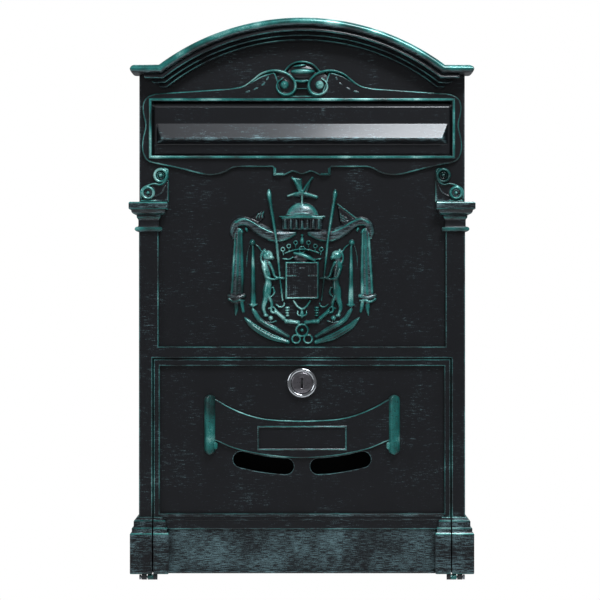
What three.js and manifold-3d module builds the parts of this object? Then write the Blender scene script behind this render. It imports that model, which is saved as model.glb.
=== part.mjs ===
// Wall mounted mailbox: an antique style cast housing with an arched cornice, a letter flap and a
// lockable lower door. Units are millimetres, +Z is up, the front faces -Y and y = 0 is the wall.
import * as THREE from 'three';
import { mergeVertices } from 'three/addons/utils/BufferGeometryUtils.js';
import Module from 'manifold-3d';

const wasm = await Module();
wasm.setup();

// driving dimensions
const bodyHalfWidth = 120;
const bodyBottom = -201;
const wall = 3;
const gap = 0.3;
const plateThickness = 1.5;
const shellBack = -(plateThickness + gap);
const facadeBack = -67;
const facadeFront = -70;
const pilasterFront = -74;

const archRadius = 175.6;
const archCentre = 31.1;
const stubTop = 172.1;
const stubHalfWidth = 125.7;
const nosingThickness = 6.6;
const roofThickness = 6.4;
const corniceMembers = [
  { top: 0, bottom: 6.6, halfWidth: 125.7, back: -66, front: -88 },
  { top: 6.4, bottom: 10, halfWidth: 115.5, back: -69, front: -84.5 },
  { top: 9.8, bottom: 13.2, halfWidth: 110, back: -69, front: -81.5 },
  { top: 13, bottom: 16.1, halfWidth: 104.8, back: -69, front: -78.5 },
];

const slotHalfWidth = 110.3;
const slotBottom = 106.3;
const slotTop = 146.3;
const slotBeadWidth = 2.5;
const cartoucheFront = -73;
const beadFront = -76;
const letterHalfWidth = 107.5;
const letterBottom = 109;

const flapAxisY = -70.2;
const flapAxisZ = 143.6;
const flapRodRadius = 1.25;
const flapRollRadius = 2.2;
const flapHalfWidth = 109.5;
const flapBottom = 107;
const flapBack = -70.4;
const flapFront = -72.4;
const lipFront = -77.5;

const doorHalfWidth = 109.1;
const doorTop = -43.7;
const doorGap = 1;
const doorBack = -67.5;
const doorPanelFront = -70.5;
const rimBack = -66.3;
const rimHalfWidth = 104.7;
const rimTop = -48.5;
const bandTop = -157;
const bandBottom = -168.6;
const hingeY = -77;
const hingeZ = -203.3;
const knuckleRadius = 2;
const hingePinRadius = 1;

const lockZ = -61;
const bezelRadius = 11;
const barrelRadius = 9.2;
const plugFaceRadius = 7.7;
const plugRadius = 6;
const camLength = 26;

const screwSpots = [[113, 140], [113, 0], [113, -180]];
const wallHoleRadius = 3.8;
const seatRadius = 9;
const seatHeight = 0.6;
const wallHoleX = 85;
const wallHoleZ = [160, -170];

// solid helpers
const signedVolume = (geometry) => {
  const p = geometry.getAttribute('position');
  const index = geometry.index.array;
  const corners = [new THREE.Vector3(), new THREE.Vector3(), new THREE.Vector3()];
  let total = 0;
  for (let i = 0; i < index.length; i += 3) {
    corners.forEach((corner, k) => corner.fromBufferAttribute(p, index[i + k]));
    total += corners[0].dot(corners[1].clone().cross(corners[2]));
  }
  return total / 6;
};

// A closed three.js geometry as a solid, turned the right way out.
const solid = (geometry) => {
  geometry.deleteAttribute('normal');
  geometry.deleteAttribute('uv');
  const merged = mergeVertices(geometry, 1e-4);
  const triangles = Uint32Array.from(merged.index.array);
  if (signedVolume(merged) < 0) {
    for (let i = 0; i < triangles.length; i += 3) {
      [triangles[i + 1], triangles[i + 2]] = [triangles[i + 2], triangles[i + 1]];
    }
  }
  const positions = Float32Array.from(merged.getAttribute('position').array);
  return new wasm.Manifold(new wasm.Mesh({
    numProp: 3, vertProperties: positions, triVerts: triangles,
  }));
};

const unite = (parts) => parts.reduce((sum, part) => sum.add(part));
const carve = (body, cuts) => cuts.reduce((rest, cut) => rest.subtract(cut), body);
const mirrored = (part) => part.mirror([1, 0, 0]);
const pair = (part) => part.add(mirrored(part));

const box = (x0, x1, y0, y1, z0, z1) => {
  const geometry = new THREE.BoxGeometry(Math.abs(x1 - x0), Math.abs(y1 - y0), Math.abs(z1 - z0));
  geometry.translate((x0 + x1) / 2, (y0 + y1) / 2, (z0 + z1) / 2);
  return solid(geometry);
};

// Outline points as vectors, running anticlockwise or clockwise as asked.
const wound = (points, clockwise) => {
  const vectors = points.map(([x, z]) => new THREE.Vector2(x, z));
  return THREE.ShapeUtils.isClockWise(vectors) === clockwise ? vectors : vectors.reverse();
};

// A flat outline in X and Z, from the y of its back to the y of its front.
const slab = (points, back, front, holes = []) => {
  const shape = new THREE.Shape(wound(points, false));
  holes.forEach((hole) => shape.holes.push(new THREE.Path(wound(hole, true))));
  const geometry = new THREE.ExtrudeGeometry(shape, { depth: back - front, bevelEnabled: false });
  geometry.rotateX(Math.PI / 2);
  geometry.translate(0, back, 0);
  return solid(geometry);
};

// An outline in Y and Z carried along X.
const bar = (points, x0, x1) => {
  const shape = new THREE.Shape(points.map(([y, z]) => new THREE.Vector2(y, z)));
  const geometry = new THREE.ExtrudeGeometry(shape, { depth: x1 - x0, bevelEnabled: false });
  geometry.rotateY(Math.PI / 2);
  geometry.rotateX(Math.PI / 2);
  geometry.translate(x0, 0, 0);
  return solid(geometry);
};

const rect = (x0, x1, z0, z1) => [[x0, z0], [x1, z0], [x1, z1], [x0, z1]];

const disc = (x, z, radius, back, front, segments = 20) => {
  const geometry = new THREE.CylinderGeometry(radius, radius, back - front, segments);
  geometry.translate(x, (back + front) / 2, z);
  return solid(geometry);
};

const dome = (x, y, z, radii, segments = 14) => {
  const geometry = new THREE.SphereGeometry(1, segments, Math.round(segments / 2));
  geometry.scale(...radii);
  geometry.translate(x, y, z);
  return solid(geometry);
};

const rodX = (x0, x1, y, z, radius, segments = 20) => {
  const geometry = new THREE.CylinderGeometry(radius, radius, x1 - x0, segments);
  geometry.rotateZ(Math.PI / 2);
  geometry.translate((x0 + x1) / 2, y, z);
  return solid(geometry);
};

const rodZ = (x, y, z0, z1, radius, segments = 16) => {
  const geometry = new THREE.CylinderGeometry(radius, radius, z1 - z0, segments);
  geometry.rotateX(Math.PI / 2);
  geometry.translate(x, y, (z0 + z1) / 2);
  return solid(geometry);
};

// A profile of [radius, y] points turned about a line along Y.
const turned = (profile, x, z, segments = 24) => {
  const geometry = new THREE.LatheGeometry(
    profile.map(([radius, y]) => new THREE.Vector2(radius, y)), segments);
  geometry.translate(x, 0, z);
  return solid(geometry);
};

// A smooth run through the given points.
const smooth = (points, count) => {
  const curve = new THREE.SplineCurve(points.map(([x, z]) => new THREE.Vector2(x, z)));
  return curve.getPoints(count).map((p) => [p.x, p.y]);
};

// A ribbon of changing width along a line of [x, z, width] points.
const ribbon = (line, back, front) => {
  const left = [];
  const right = [];
  line.forEach(([x, z, width], i) => {
    const before = line[Math.max(i - 1, 0)];
    const after = line[Math.min(i + 1, line.length - 1)];
    const length = Math.hypot(after[0] - before[0], after[1] - before[1]);
    const nx = (-(after[1] - before[1]) / length) * (width / 2);
    const nz = ((after[0] - before[0]) / length) * (width / 2);
    left.push([x + nx, z + nz]);
    right.unshift([x - nx, z - nz]);
  });
  return slab(left.concat(right), back, front);
};

const ring = (x, z, outer, inner, back, front, segments = 18) => carve(
  disc(x, z, outer, back, front, segments), [disc(x, z, inner, back + 1, front - 1, segments)]);

// cornice line: a level stub at each side and a segmental arch between
const archLine = (offset, halfWidth, segments = 28) => {
  const radius = archRadius - offset;
  const footZ = stubTop - offset;
  const footX = Math.sqrt(radius ** 2 - (footZ - archCentre) ** 2);
  const reach = Math.asin(footX / radius);
  const points = [[-halfWidth, footZ]];
  for (let i = 0; i <= segments; i += 1) {
    const angle = -reach + (2 * reach * i) / segments;
    points.push([radius * Math.sin(angle), archCentre + radius * Math.cos(angle)]);
  }
  points.push([halfWidth, footZ]);
  return points;
};

const corniceMember = ({ top, bottom, halfWidth, back, front }) => slab(
  archLine(top, halfWidth).concat(archLine(bottom, halfWidth - 1.2).reverse()), back, front);

const bodyOutline = (offset, inset) => archLine(offset, bodyHalfWidth - inset).concat([
  [bodyHalfWidth - inset, bodyBottom + inset], [-(bodyHalfWidth - inset), bodyBottom + inset]]);

// front casing
const shell = slab(bodyOutline(3, 0), shellBack, facadeBack - 0.2, [bodyOutline(roofThickness, wall)]);

const facade = carve(slab(bodyOutline(3, 0), facadeBack, facadeFront), [
  box(-letterHalfWidth, letterHalfWidth, -60, -71, letterBottom, 142),
  box(-slotHalfWidth, slotHalfWidth, -60, -71, 140.5, 147.5),
  box(-doorHalfWidth - doorGap, doorHalfWidth + doorGap, -60, -71, doorTop + doorGap, -210),
]);

const cartoucheSide = [
  [-21.3, 91.6], [-21.2, 97.9], [-50.7, 97.9], [-56.3, 93.9], [-67.6, 91.6], [-89.7, 97.1],
  [-106, 100], [-111.7, 101], [-116, 104.5], [-117.9, 110.3], [-117.3, 119], [-115, 128.6],
  [-117.2, 137], [-117.6, 143.3], [-115.4, 148], [-110.3, 151.8], [-97, 152.5], [-78.6, 154],
  [-45.6, 156.6], [-36.8, 161], [-29.4, 165.4], [-20, 168],
];
const cartoucheOutline = [[0, 92], [-6, 94.8], [-13.2, 91.6]].concat(cartoucheSide);
const otherSide = cartoucheOutline.slice(1).map(([x, z]) => [-x, z]).reverse();
const cartouche = slab(cartoucheOutline.concat([[-14, 150.5], [14, 150.5]], otherSide),
  facadeFront + 0.5, cartoucheFront, [rect(-slotHalfWidth, slotHalfWidth, slotBottom, slotTop)]);

const bead = slab(
  rect(-slotHalfWidth - slotBeadWidth, slotHalfWidth + slotBeadWidth,
    slotBottom - slotBeadWidth, slotTop + slotBeadWidth),
  cartoucheFront + 0.5, beadFront, [rect(-slotHalfWidth, slotHalfWidth, slotBottom, slotTop)]);

const topVolutes = pair(unite([
  disc(-12.6, 159.6, 8.6, -69.5, -75, 22),
  disc(-13.4, 158.8, 3.3, -74.5, -77, 14),
  ribbon([[-3, 161, 3], [0, 160.6, 3]], -69.5, -75.5),
]));
const hood = unite([
  slab(smooth([[-12.5, 165], [-10.5, 171.5], [0, 175.8], [10.5, 171.5], [12.5, 165]], 14), -69.5, -76),
  slab(smooth([[-7.7, 166], [-5, 171], [0, 171.4], [5, 171], [7.7, 166], [0, 165.2]], 12), -75.5, -78),
]);

const scrollBracket = unite([
  disc(-104.8, 91.4, 5.1, -69.5, -76, 18),
  disc(-104.8, 91.4, 2.2, -75.5, -77.5, 12),
  disc(-113, 79.4, 4.4, -69.5, -76, 18),
  disc(-113, 79.4, 1.9, -75.5, -77.5, 12),
  ribbon([[-113, 75.4, 2.4], [-107.5, 77, 2.6], [-102.4, 82, 2.8], [-101, 88, 2.6]], -69.5, -75.5),
  slab([[-117.5, 71.5], [-99, 71.5], [-98.3, 84], [-103, 88], [-110, 83.5], [-117.4, 78]], -69.5, -73.5),
]);

const capitalSteps = [
  [98.6, 127, 66.4, 72, -82], [100.3, 125, 62.5, 66.6, -79.5], [104.4, 121.3, 59.9, 62.7, -76],
  [105.6, 120.4, 53.8, 60.1, -74.5], [102.7, 122.5, 50.3, 53.9, -77.5],
];
const plinthSteps = [
  [121.6, -161.9, -159.5, -75.6], [123.8, -167.2, -161.8, -77.4],
  [125.7, -170.9, -167.1, -78.8], [126.2, bodyBottom, -170.8, -80],
];
const innerPlinthEdges = [102.5, 100.7, 99.6, 97.8];

const capital = unite(capitalSteps.map(([inner, outer, low, high, front]) => unite([
  box(-outer, -117.5, shellBack, front, low, high), box(-outer, -inner, -69, front, low, high)])));
const plinth = unite(plinthSteps.map(([outer, low, high, front]) => unite([
  box(-outer, -117.5, shellBack, front, low, high),
  box(-outer, -(doorHalfWidth + doorGap), -69, front, low, high)])));
const shaft = unite([
  box(-bodyHalfWidth, -105.6, -69, pilasterFront, -42.6, 59.9),
  box(-bodyHalfWidth, -(doorHalfWidth + doorGap), -69, pilasterFront, -159.5, -42.4),
]);
const rail = box(-110, 110, -69, pilasterFront, -42.7, -34.3);

// ledges behind the door's rim, and the strike that the lock's cam turns behind
const doorStops = unite([
  pair(box(-117.5, -104, -62.8, -65.8, -198.5, -36)),
  pair(box(-117.5, -110.1, -62.8, -67.5, -198.5, -36)),
  box(-117.5, 117.5, -62.8, -65.8, -46, -36),
  box(-117.5, 117.5, -62.8, -67.5, -42.6, -36),
  box(-14, 14, -55.3, -67.5, -41.5, -35),
]);

const screwBosses = unite(screwSpots.flatMap(([x, z]) => [
  unite([disc(-x, z, 4.5, shellBack, -22, 16), disc(x, z, 4.5, shellBack, -22, 16)])]));
const bossHoles = unite(screwSpots.flatMap(([x, z]) => [
  unite([disc(-x, z, 2.2, 1, -15, 12), disc(x, z, 2.2, 1, -15, 12)])]));

const hingeLug = unite([
  rodX(-117.6, -114, hingeY, hingeZ, knuckleRadius),
  box(-117.6, -114, hingeY + knuckleRadius, hingeY - knuckleRadius, hingeZ, bodyBottom + 0.5),
]);
const rodNotch = box(-115, -110, -60, -71.6, flapAxisZ - 1.4, flapAxisZ + 1.4);
const clipHole = disc(-113, 136, 1.5, -60, -72, 12);

// crest: a made-up coat of arms under a domed crown
const crestBack = -69.5;
const crestHalf = unite([
  ribbon([[-5.4, 48.5, 3], [-14.3, 46.7, 9.5], [-25.3, 48.9, 11], [-34.1, 53.7, 9], [-41.5, 57.3, 7.7],
    [-47.3, 57, 6.6], [-50.3, 52.2, 5], [-50.6, 47.8, 3.7]], crestBack, -74),
  ribbon([[-46.7, 50, 3.7], [-47.3, 25, 7], [-47.8, 3.6, 9.7]], crestBack, -72.5),
  ribbon([[-54, 1, 5], [-48, 0.8, 6], [-42.2, 1, 5]], crestBack, -73.5),
  ribbon([[-49.3, -1, 5], [-48.8, -11, 1.2]], crestBack, -72),
  ribbon([[-44.6, -1, 4], [-43.4, -7.5, 2.2]], crestBack, -72.6),
  dome(-36.4, -70.5, 42, [2.3, 2.3, 2.3], 10),
  ribbon([[-36, 40, 1.8], [-35.8, -2.8, 4.6]], crestBack, -72.2),
  ribbon([[-25, 80, 1.2], [-24.4, 75.3, 3.3], [-20.6, 48.3, 2.2], [-14.7, -2.4, 1.3]], crestBack, -75),
  dome(-26.1, -70.5, 33, [3.8, 3.2, 3.9], 10),
  ribbon([[-26.6, 29, 5], [-26.3, 23, 7], [-24.8, 14.6, 4.6], [-25.3, 7, 6.4], [-25.6, 1.4, 5.2],
    [-28.6, -4.9, 3], [-27.3, -10.8, 2.6]], crestBack, -73),
  ribbon([[-26, 23, 3], [-22.7, 16.2, 2.2], [-12.8, 15.8, 2]], crestBack, -73.8),
  ribbon([[-24.6, 0, 1.8], [-21.4, 3, 1.6], [-20.6, 8, 1.4], [-22, 11, 1.2]], crestBack, -71.4),
  ribbon([[-42.1, -13.3, 3], [-34.9, -20, 5], [-23.2, -26.8, 5.4], [-10.5, -31, 4]], crestBack, -72.6),
  ribbon([[-35.8, -6.5, 3.4], [-30.7, -15, 4], [-20.6, -20.9, 4.2], [-10.5, -26.8, 3.4]], crestBack, -72),
  ribbon([[-24, -6.1, 2.4], [-17.2, -10.8, 3], [-12.6, -16, 3], [-6.2, -16.2, 2.6], [-0.5, -16.2, 2.4]],
    crestBack, -72.8),
  disc(-4.9, 42, 1.4, crestBack, -73.5, 10),
  disc(-9.2, 39.5, 1.4, crestBack, -73.5, 10),
  disc(-13.3, 37.3, 1.3, crestBack, -73.2, 10),
  ribbon([[-13, 34, 2.4], [-6, 36.6, 3], [0.5, 37.4, 3]], crestBack, -72.6),
  ribbon([[-10.8, -5.2, 3.6], [-10.8, -12, 3.6]], crestBack, -71.8),
  ring(-4.3, -28.6, 3.6, 2.3, crestBack, -72.6, 14),
]);
const crest = unite([
  pair(crestHalf),
  slab([[-7.2, 89.2], [0, 81.5], [7.2, 89.2], [4.2, 79.5], [10.6, 75.8], [3, 76], [0, 71], [-3, 76],
    [-10.6, 75.8], [-4.2, 79.5]], crestBack, -72.6),
  slab(smooth([[-12.2, 60], [-10.6, 66.5], [0, 71.5], [10.6, 66.5], [12.2, 60]], 14), crestBack, -74),
  box(-15.6, 15.6, crestBack, -74.4, 59.4, 61),
  box(-15, 15, crestBack, -73.4, 52, 59.8),
  slab([[-39.6, 59.7], [-29.9, 66], [-27.2, 61], [-34.9, 52.5]], crestBack, -72.8),
  slab([[25.8, 70.6], [27.5, 57.6], [32.6, 53.4], [41.5, 58.4]], crestBack, -72.8),
  disc(0, 44.5, 1.5, crestBack, -73.8, 10),
  slab(smooth([[-9, 33], [-4, 35.6], [4, 34.6], [9.6, 29], [0, 29.4]], 12), crestBack, -74),
  slab(rect(-12.6, 12.6, 0.6, 28.4), crestBack, -74.6, [rect(-11.3, 11.3, 1.9, 27.1)]),
  slab(rect(-11.6, 11.6, 1.6, 27.4), crestBack, -73.4),
  ribbon([[-6.2, -0.5, 1.6], [-3.4, -4.6, 1.6], [0, -6.4, 1.8], [3.4, -4.6, 1.6], [6.2, -0.5, 1.6]],
    crestBack, -72.6),
  ribbon([[0, -7, 1.4], [0, -10, 4.4], [0, -13.5, 1.6]], crestBack, -72.4),
  ring(0, -22.4, 5, 3.6, crestBack, -72.8, 18),
]);

const frontCasing = carve(unite([
  shell, facade, cartouche, bead, topVolutes, hood, rail, doorStops, screwBosses, crest,
  pair(unite([scrollBracket, capital, plinth, shaft, hingeLug])),
  ...corniceMembers.map(corniceMember),
]), [
  pair(rodNotch), pair(clipHole), bossHoles,
  box(-110.1, 110.1, -62, -72, bodyBottom - 1, -189),
  rodX(-130, -100, hingeY, hingeZ, hingePinRadius + 0.1, 16),
  rodX(100, 130, hingeY, hingeZ, hingePinRadius + 0.1, 16),
]);

// back plate and its screws
const allScrews = screwSpots.flatMap(([x, z]) => [[-x, z], [x, z]]);
const countersink = ([x, z]) => turned([[0, 1], [4.9, 1], [2.2, -plateThickness - 0.02],
  [2.2, -2.5], [0, -2.5]], x, z, 16);
const backPlate = carve(unite([
  slab(bodyOutline(3.4, 0.5), 0, -plateThickness),
  ...wallHoleZ.map((z) => pair(
    disc(wallHoleX, z, seatRadius, -plateThickness + 0.5, -plateThickness - seatHeight, 24))),
]), [
  ...allScrews.map(countersink),
  ...wallHoleZ.map((z) => pair(disc(wallHoleX, z, wallHoleRadius, 1, -3, 20))),
]);

const plateScrew = ([x, z]) => carve(
  turned([[0, 0], [3.6, 0], [1.9, -1.7], [1.9, -12], [1.2, -13], [0, -13]], x, z, 16), [
    box(x - 2.1, x + 2.1, 1, -0.9, z - 0.35, z + 0.35),
    box(x - 0.35, x + 0.35, 1, -0.9, z - 2.1, z + 2.1),
  ]);

// letter flap on its rod
const flapRod = rodX(-114.5, 114.5, flapAxisY, flapAxisZ, flapRodRadius);
const gripLip = carve(
  bar([[flapFront + 0.4, 129.8], [flapFront, 129.8], [lipFront, 118.8], [lipFront, 117.8],
    [flapFront, 114.7], [flapFront + 0.4, 114.7]], -107.2, 107.2),
  [-1, 1].map((side) => {
    const geometry = new THREE.BoxGeometry(10, 30, 40);
    geometry.rotateY(side * 0.32);
    geometry.translate(side * 110.3, -72, 122);
    return solid(geometry);
  }));
const letterFlap = carve(unite([
  box(-flapHalfWidth, flapHalfWidth, flapBack, flapFront, flapBottom, flapAxisZ),
  rodX(-flapHalfWidth, flapHalfWidth, flapAxisY, flapAxisZ, flapRollRadius),
  gripLip,
]), [rodX(-130, 130, flapAxisY, flapAxisZ, flapRodRadius + 0.1)]);

const rodClip = carve(slab(rect(-116.4, -109, 132.5, 148), facadeBack + gap, facadeBack + 1.5),
  [disc(-113, 136, 1.5, -60, -72, 12)]);
const clipScrew = turned([[0, -71.5], [1.25, -71.5], [1.25, -65.2], [2.3, -65.2], [2.3, -63.8],
  [0, -63.8]], -113, 136, 16);

// mail door
const bannerTop = smooth([[-66.3, -72], [-61.8, -73.9], [-55, -77.9], [-43.7, -83], [-32.5, -86.4],
  [-21.2, -88], [0, -88.8], [21.2, -88], [32.5, -86.4], [43.7, -83], [55, -77.9], [61.8, -73.9],
  [66.3, -72]], 24);
const bannerBottom = smooth([[66, -103], [61.8, -104.3], [50.5, -109.1], [38.1, -112.2], [21.2, -115],
  [0, -116.4], [-21.2, -115], [-38.1, -112.2], [-50.5, -109.1], [-61.8, -104.3], [-66, -103]], 20);
const banner = unite([
  slab(bannerTop.concat(bannerBottom), -70, -73.6),
  pair(rodZ(-67.8, -71.9, -113.6, -69.8, 4.2)),
]);
const nameRecess = box(-31.5, 31.5, -72.4, -80, -109.2, -94);
const nameBorder = slab(rect(-33, 33, -110.6, -92.6), -73, -74.3, [rect(-31.5, 31.5, -109.2, -94)]);

const slotCentre = [[-44.8, -117.6], [-33, -120.2], [-21.5, -121.9], [-12, -122.6]];
const viewSlot = unite([
  ribbon(slotCentre.map(([x, z]) => [x, z, 11.8]), -60, -80),
  disc(-44.8, -117.6, 5.9, -60, -80, 20),
  disc(-12, -122.6, 5.9, -60, -80, 20),
]);

const innerPlinth = unite(plinthSteps.map(([, low, high, front], i) => (
  box(-doorHalfWidth, -innerPlinthEdges[i], rimBack, front, low, high))));
const doorKnuckle = unite([
  rodX(-113.3, -106.2, hingeY, hingeZ, knuckleRadius),
  box(-doorHalfWidth, -106.2, hingeY + knuckleRadius, hingeY - knuckleRadius, hingeZ, bodyBottom + 0.5),
]);
const doorRim = slab(rect(-doorHalfWidth, doorHalfWidth, bandBottom, doorTop), rimBack, pilasterFront,
  [rect(-rimHalfWidth, rimHalfWidth, bandTop, rimTop)]);

const mailDoor = carve(unite([
  box(-doorHalfWidth + 1, doorHalfWidth - 1, doorBack, doorPanelFront, bandBottom, doorTop - 1),
  doorRim,
  box(-98.5, 98.5, doorBack, -72, bodyBottom, bandBottom + 0.2),
  box(-98.5, 98.5, doorBack, -74.5, bodyBottom, bodyBottom + 1.7),
  banner, nameBorder,
  pair(unite([innerPlinth, doorKnuckle])),
]), [
  nameRecess, pair(viewSlot),
  disc(0, lockZ, barrelRadius + gap, -60, -80, 24),
  pair(rodX(-130, -107.5, hingeY, hingeZ, hingePinRadius + 0.1, 16)),
]);

const doorPin = unite([
  rodX(-118.5, -108, hingeY, hingeZ, hingePinRadius, 16),
  rodX(-119.4, -118, hingeY, hingeZ, 1.8, 16),
]);

// lock
const lockBarrel = carve(turned([[0, -74], [10.2, -74], [bezelRadius, -73.2], [bezelRadius, -70.8],
  [barrelRadius, -70.8], [barrelRadius, -55.5], [0, -55.5]], 0, lockZ, 32), [
  disc(0, lockZ, plugFaceRadius + 0.2, -71.2, -80, 32),
  disc(0, lockZ, plugRadius + 0.1, -50, -80, 32),
]);
const lockWasher = ring(0, lockZ, 11.8, barrelRadius + gap, -66.5, -67.2, 28);
const lockNut = carve(disc(0, lockZ, 12.6, -63.2, -66.2, 6),
  [disc(0, lockZ, barrelRadius + gap, -60, -70, 28)]);
const lockPlug = carve(unite([
  turned([[0, -73.4], [plugFaceRadius, -73.4], [plugFaceRadius, -71.5], [plugRadius, -71.5],
    [plugRadius, -55.2], [0, -55.2]], 0, lockZ, 32),
  box(-3.1, 3.1, -56, -53.2, lockZ - 3.1, lockZ + 3.1),
]), [
  box(-0.8, 0.8, -70, -80, lockZ - 3.9, lockZ + 3.9),
  disc(0, lockZ, 1.9, -50, -64, 12),
]);
const lockCam = carve(slab([[-camLength, lockZ - 4.5], [-8, lockZ - 7], [3, lockZ - 7.5],
  [7, lockZ - 5], [7, lockZ + 5], [3, lockZ + 7.5], [-8, lockZ + 7], [-camLength, lockZ + 4.5]],
-52.9, -54.9), [box(-3.4, 3.4, -50, -58, lockZ - 3.4, lockZ + 3.4)]);
const camWasher = ring(0, lockZ, 5.6, 1.9, -51.8, -52.6, 18);
const camBolt = unite([
  disc(0, lockZ, 4.4, -48.5, -51.5, 6),
  disc(0, lockZ, 1.6, -51, -61, 12),
]);

// scene
const castFinish = { color: 0x24272b, roughness: 0.5, metalness: 0.6 };
const paintFinish = { color: 0x131416, roughness: 0.45, metalness: 0.2 };
const zincFinish = { color: 0xaeb2b6, roughness: 0.35, metalness: 0.9 };
const chromeFinish = { color: 0xd8dade, roughness: 0.12, metalness: 1 };
const steelFinish = { color: 0x8e9094, roughness: 0.4, metalness: 0.9 };

const group = new THREE.Group();
const place = (name, part, finish) => {
  const mesh = part.getMesh();
  const geometry = new THREE.BufferGeometry();
  geometry.setAttribute('position', new THREE.BufferAttribute(mesh.vertProperties, 3));
  geometry.setIndex(new THREE.BufferAttribute(mesh.triVerts, 1));
  geometry.computeVertexNormals();
  const node = new THREE.Mesh(geometry, new THREE.MeshStandardMaterial(finish));
  node.name = name;
  group.add(node);
};

place('front_casing', frontCasing, castFinish);
place('back_plate', backPlate, paintFinish);
allScrews.forEach((spot, i) => place(`back_plate_screw_${i + 1}`, plateScrew(spot), zincFinish));
place('flap_rod', flapRod, steelFinish);
place('flap_rod_clip_left', rodClip, zincFinish);
place('flap_rod_clip_right', mirrored(rodClip), zincFinish);
place('clip_screw_left', clipScrew, zincFinish);
place('clip_screw_right', mirrored(clipScrew), zincFinish);
place('door_pin_left', doorPin, steelFinish);
place('door_pin_right', mirrored(doorPin), steelFinish);
place('letter_flap', letterFlap, castFinish);
place('mail_door', mailDoor, castFinish);
place('lock_barrel', lockBarrel, chromeFinish);
place('lock_washer', lockWasher, zincFinish);
place('lock_nut', lockNut, zincFinish);
place('lock_plug', lockPlug, steelFinish);
place('lock_cam', lockCam, zincFinish);
place('cam_washer', camWasher, zincFinish);
place('cam_bolt', camBolt, zincFinish);

export default group;
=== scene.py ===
import math

import bmesh
import bpy
import numpy as np
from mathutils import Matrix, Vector
from mathutils.geometry import tessellate_polygon


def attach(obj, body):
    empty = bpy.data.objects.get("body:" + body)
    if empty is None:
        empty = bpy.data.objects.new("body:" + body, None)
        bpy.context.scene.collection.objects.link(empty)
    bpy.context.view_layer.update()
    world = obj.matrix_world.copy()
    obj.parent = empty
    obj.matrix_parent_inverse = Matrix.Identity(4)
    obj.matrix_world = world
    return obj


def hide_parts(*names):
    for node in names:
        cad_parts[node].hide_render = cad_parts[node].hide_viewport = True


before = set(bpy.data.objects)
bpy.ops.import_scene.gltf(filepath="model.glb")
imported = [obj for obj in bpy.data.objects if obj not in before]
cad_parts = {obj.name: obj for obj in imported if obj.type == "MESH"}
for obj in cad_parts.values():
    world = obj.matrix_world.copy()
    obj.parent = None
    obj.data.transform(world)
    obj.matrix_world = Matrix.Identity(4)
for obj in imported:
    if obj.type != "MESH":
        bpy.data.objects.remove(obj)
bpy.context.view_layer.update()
mm = 0.001
print("frame loaded:", len(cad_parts), "CAD nodes")


# colours and nodes

def hexColour(code):  # sRGB hex text to linear colour with alpha 1
    srgb = np.array([int(code[i:i + 2], 16) for i in (1, 3, 5)]) / 255
    linear = np.where(srgb <= 0.04045, srgb / 12.92, ((srgb + 0.055) / 1.055) ** 2.4)
    return (*linear.tolist(), 1.0)


def addNode(tree, kind, inputs=None, **settings):
    # adds one node; inputs are given by name or number, a socket is linked and a value is set
    node = tree.nodes.new(kind)
    for name, value in settings.items():
        setattr(node, name, value)
    for key, value in (inputs or {}).items():
        if isinstance(value, bpy.types.NodeSocket):
            tree.links.new(value, node.inputs[key])
        else:
            node.inputs[key].default_value = value
    return node


def newMaterial(name):
    # an empty node tree with one Principled shader joined to its output
    material = bpy.data.materials.new(name)
    material.use_nodes = True
    tree = material.node_tree
    tree.nodes.clear()
    shader = addNode(tree, "ShaderNodeBsdfPrincipled")
    addNode(tree, "ShaderNodeOutputMaterial", {"Surface": shader.outputs[0]})
    return material, tree, shader


def stretchedNoise(tree, sizeMm, detail=2.0, roughness=0.55, offset=(0, 0, 0)):
    # noise on Object coordinates whose grains measure sizeMm along X, Y and Z
    coords = addNode(tree, "ShaderNodeTexCoord")
    mapping = addNode(tree, "ShaderNodeMapping", {
        "Vector": coords.outputs["Object"], "Location": offset,
        "Scale": tuple(1000 / size for size in sizeMm)})
    noise = addNode(tree, "ShaderNodeTexNoise", {
        "Vector": mapping.outputs[0], "Scale": 1.0, "Detail": detail, "Roughness": roughness})
    return noise.outputs[0]


def calc(tree, operation, a, b=0.0, clamp=False):
    # one Math node on a and b, kept between 0 and 1 if clamp is set
    return addNode(tree, "ShaderNodeMath", {0: a, 1: b}, operation=operation, use_clamp=clamp).outputs[0]


lacquerLook = {
    "charcoal": "#08090d", "charcoalLight": "#0f1016", "greyTeal": "#6d8b90", "tealDeep": "#0a322f",
    "tealMid": "#24807a", "tealBright": "#b2e4dc", "roughness": 0.34, "patinaRoughness": 0.27,
    "clearCoat": 0.5, "coatRoughness": 0.12,
    "streakMm": (6.0, 6.0, 0.45), "grainMm": 0.7, "patchMm": 20.0,
    "threshold": 0.648, "reach": 0.40, "softness": 0.09, "patchiness": 0.5,
}


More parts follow.
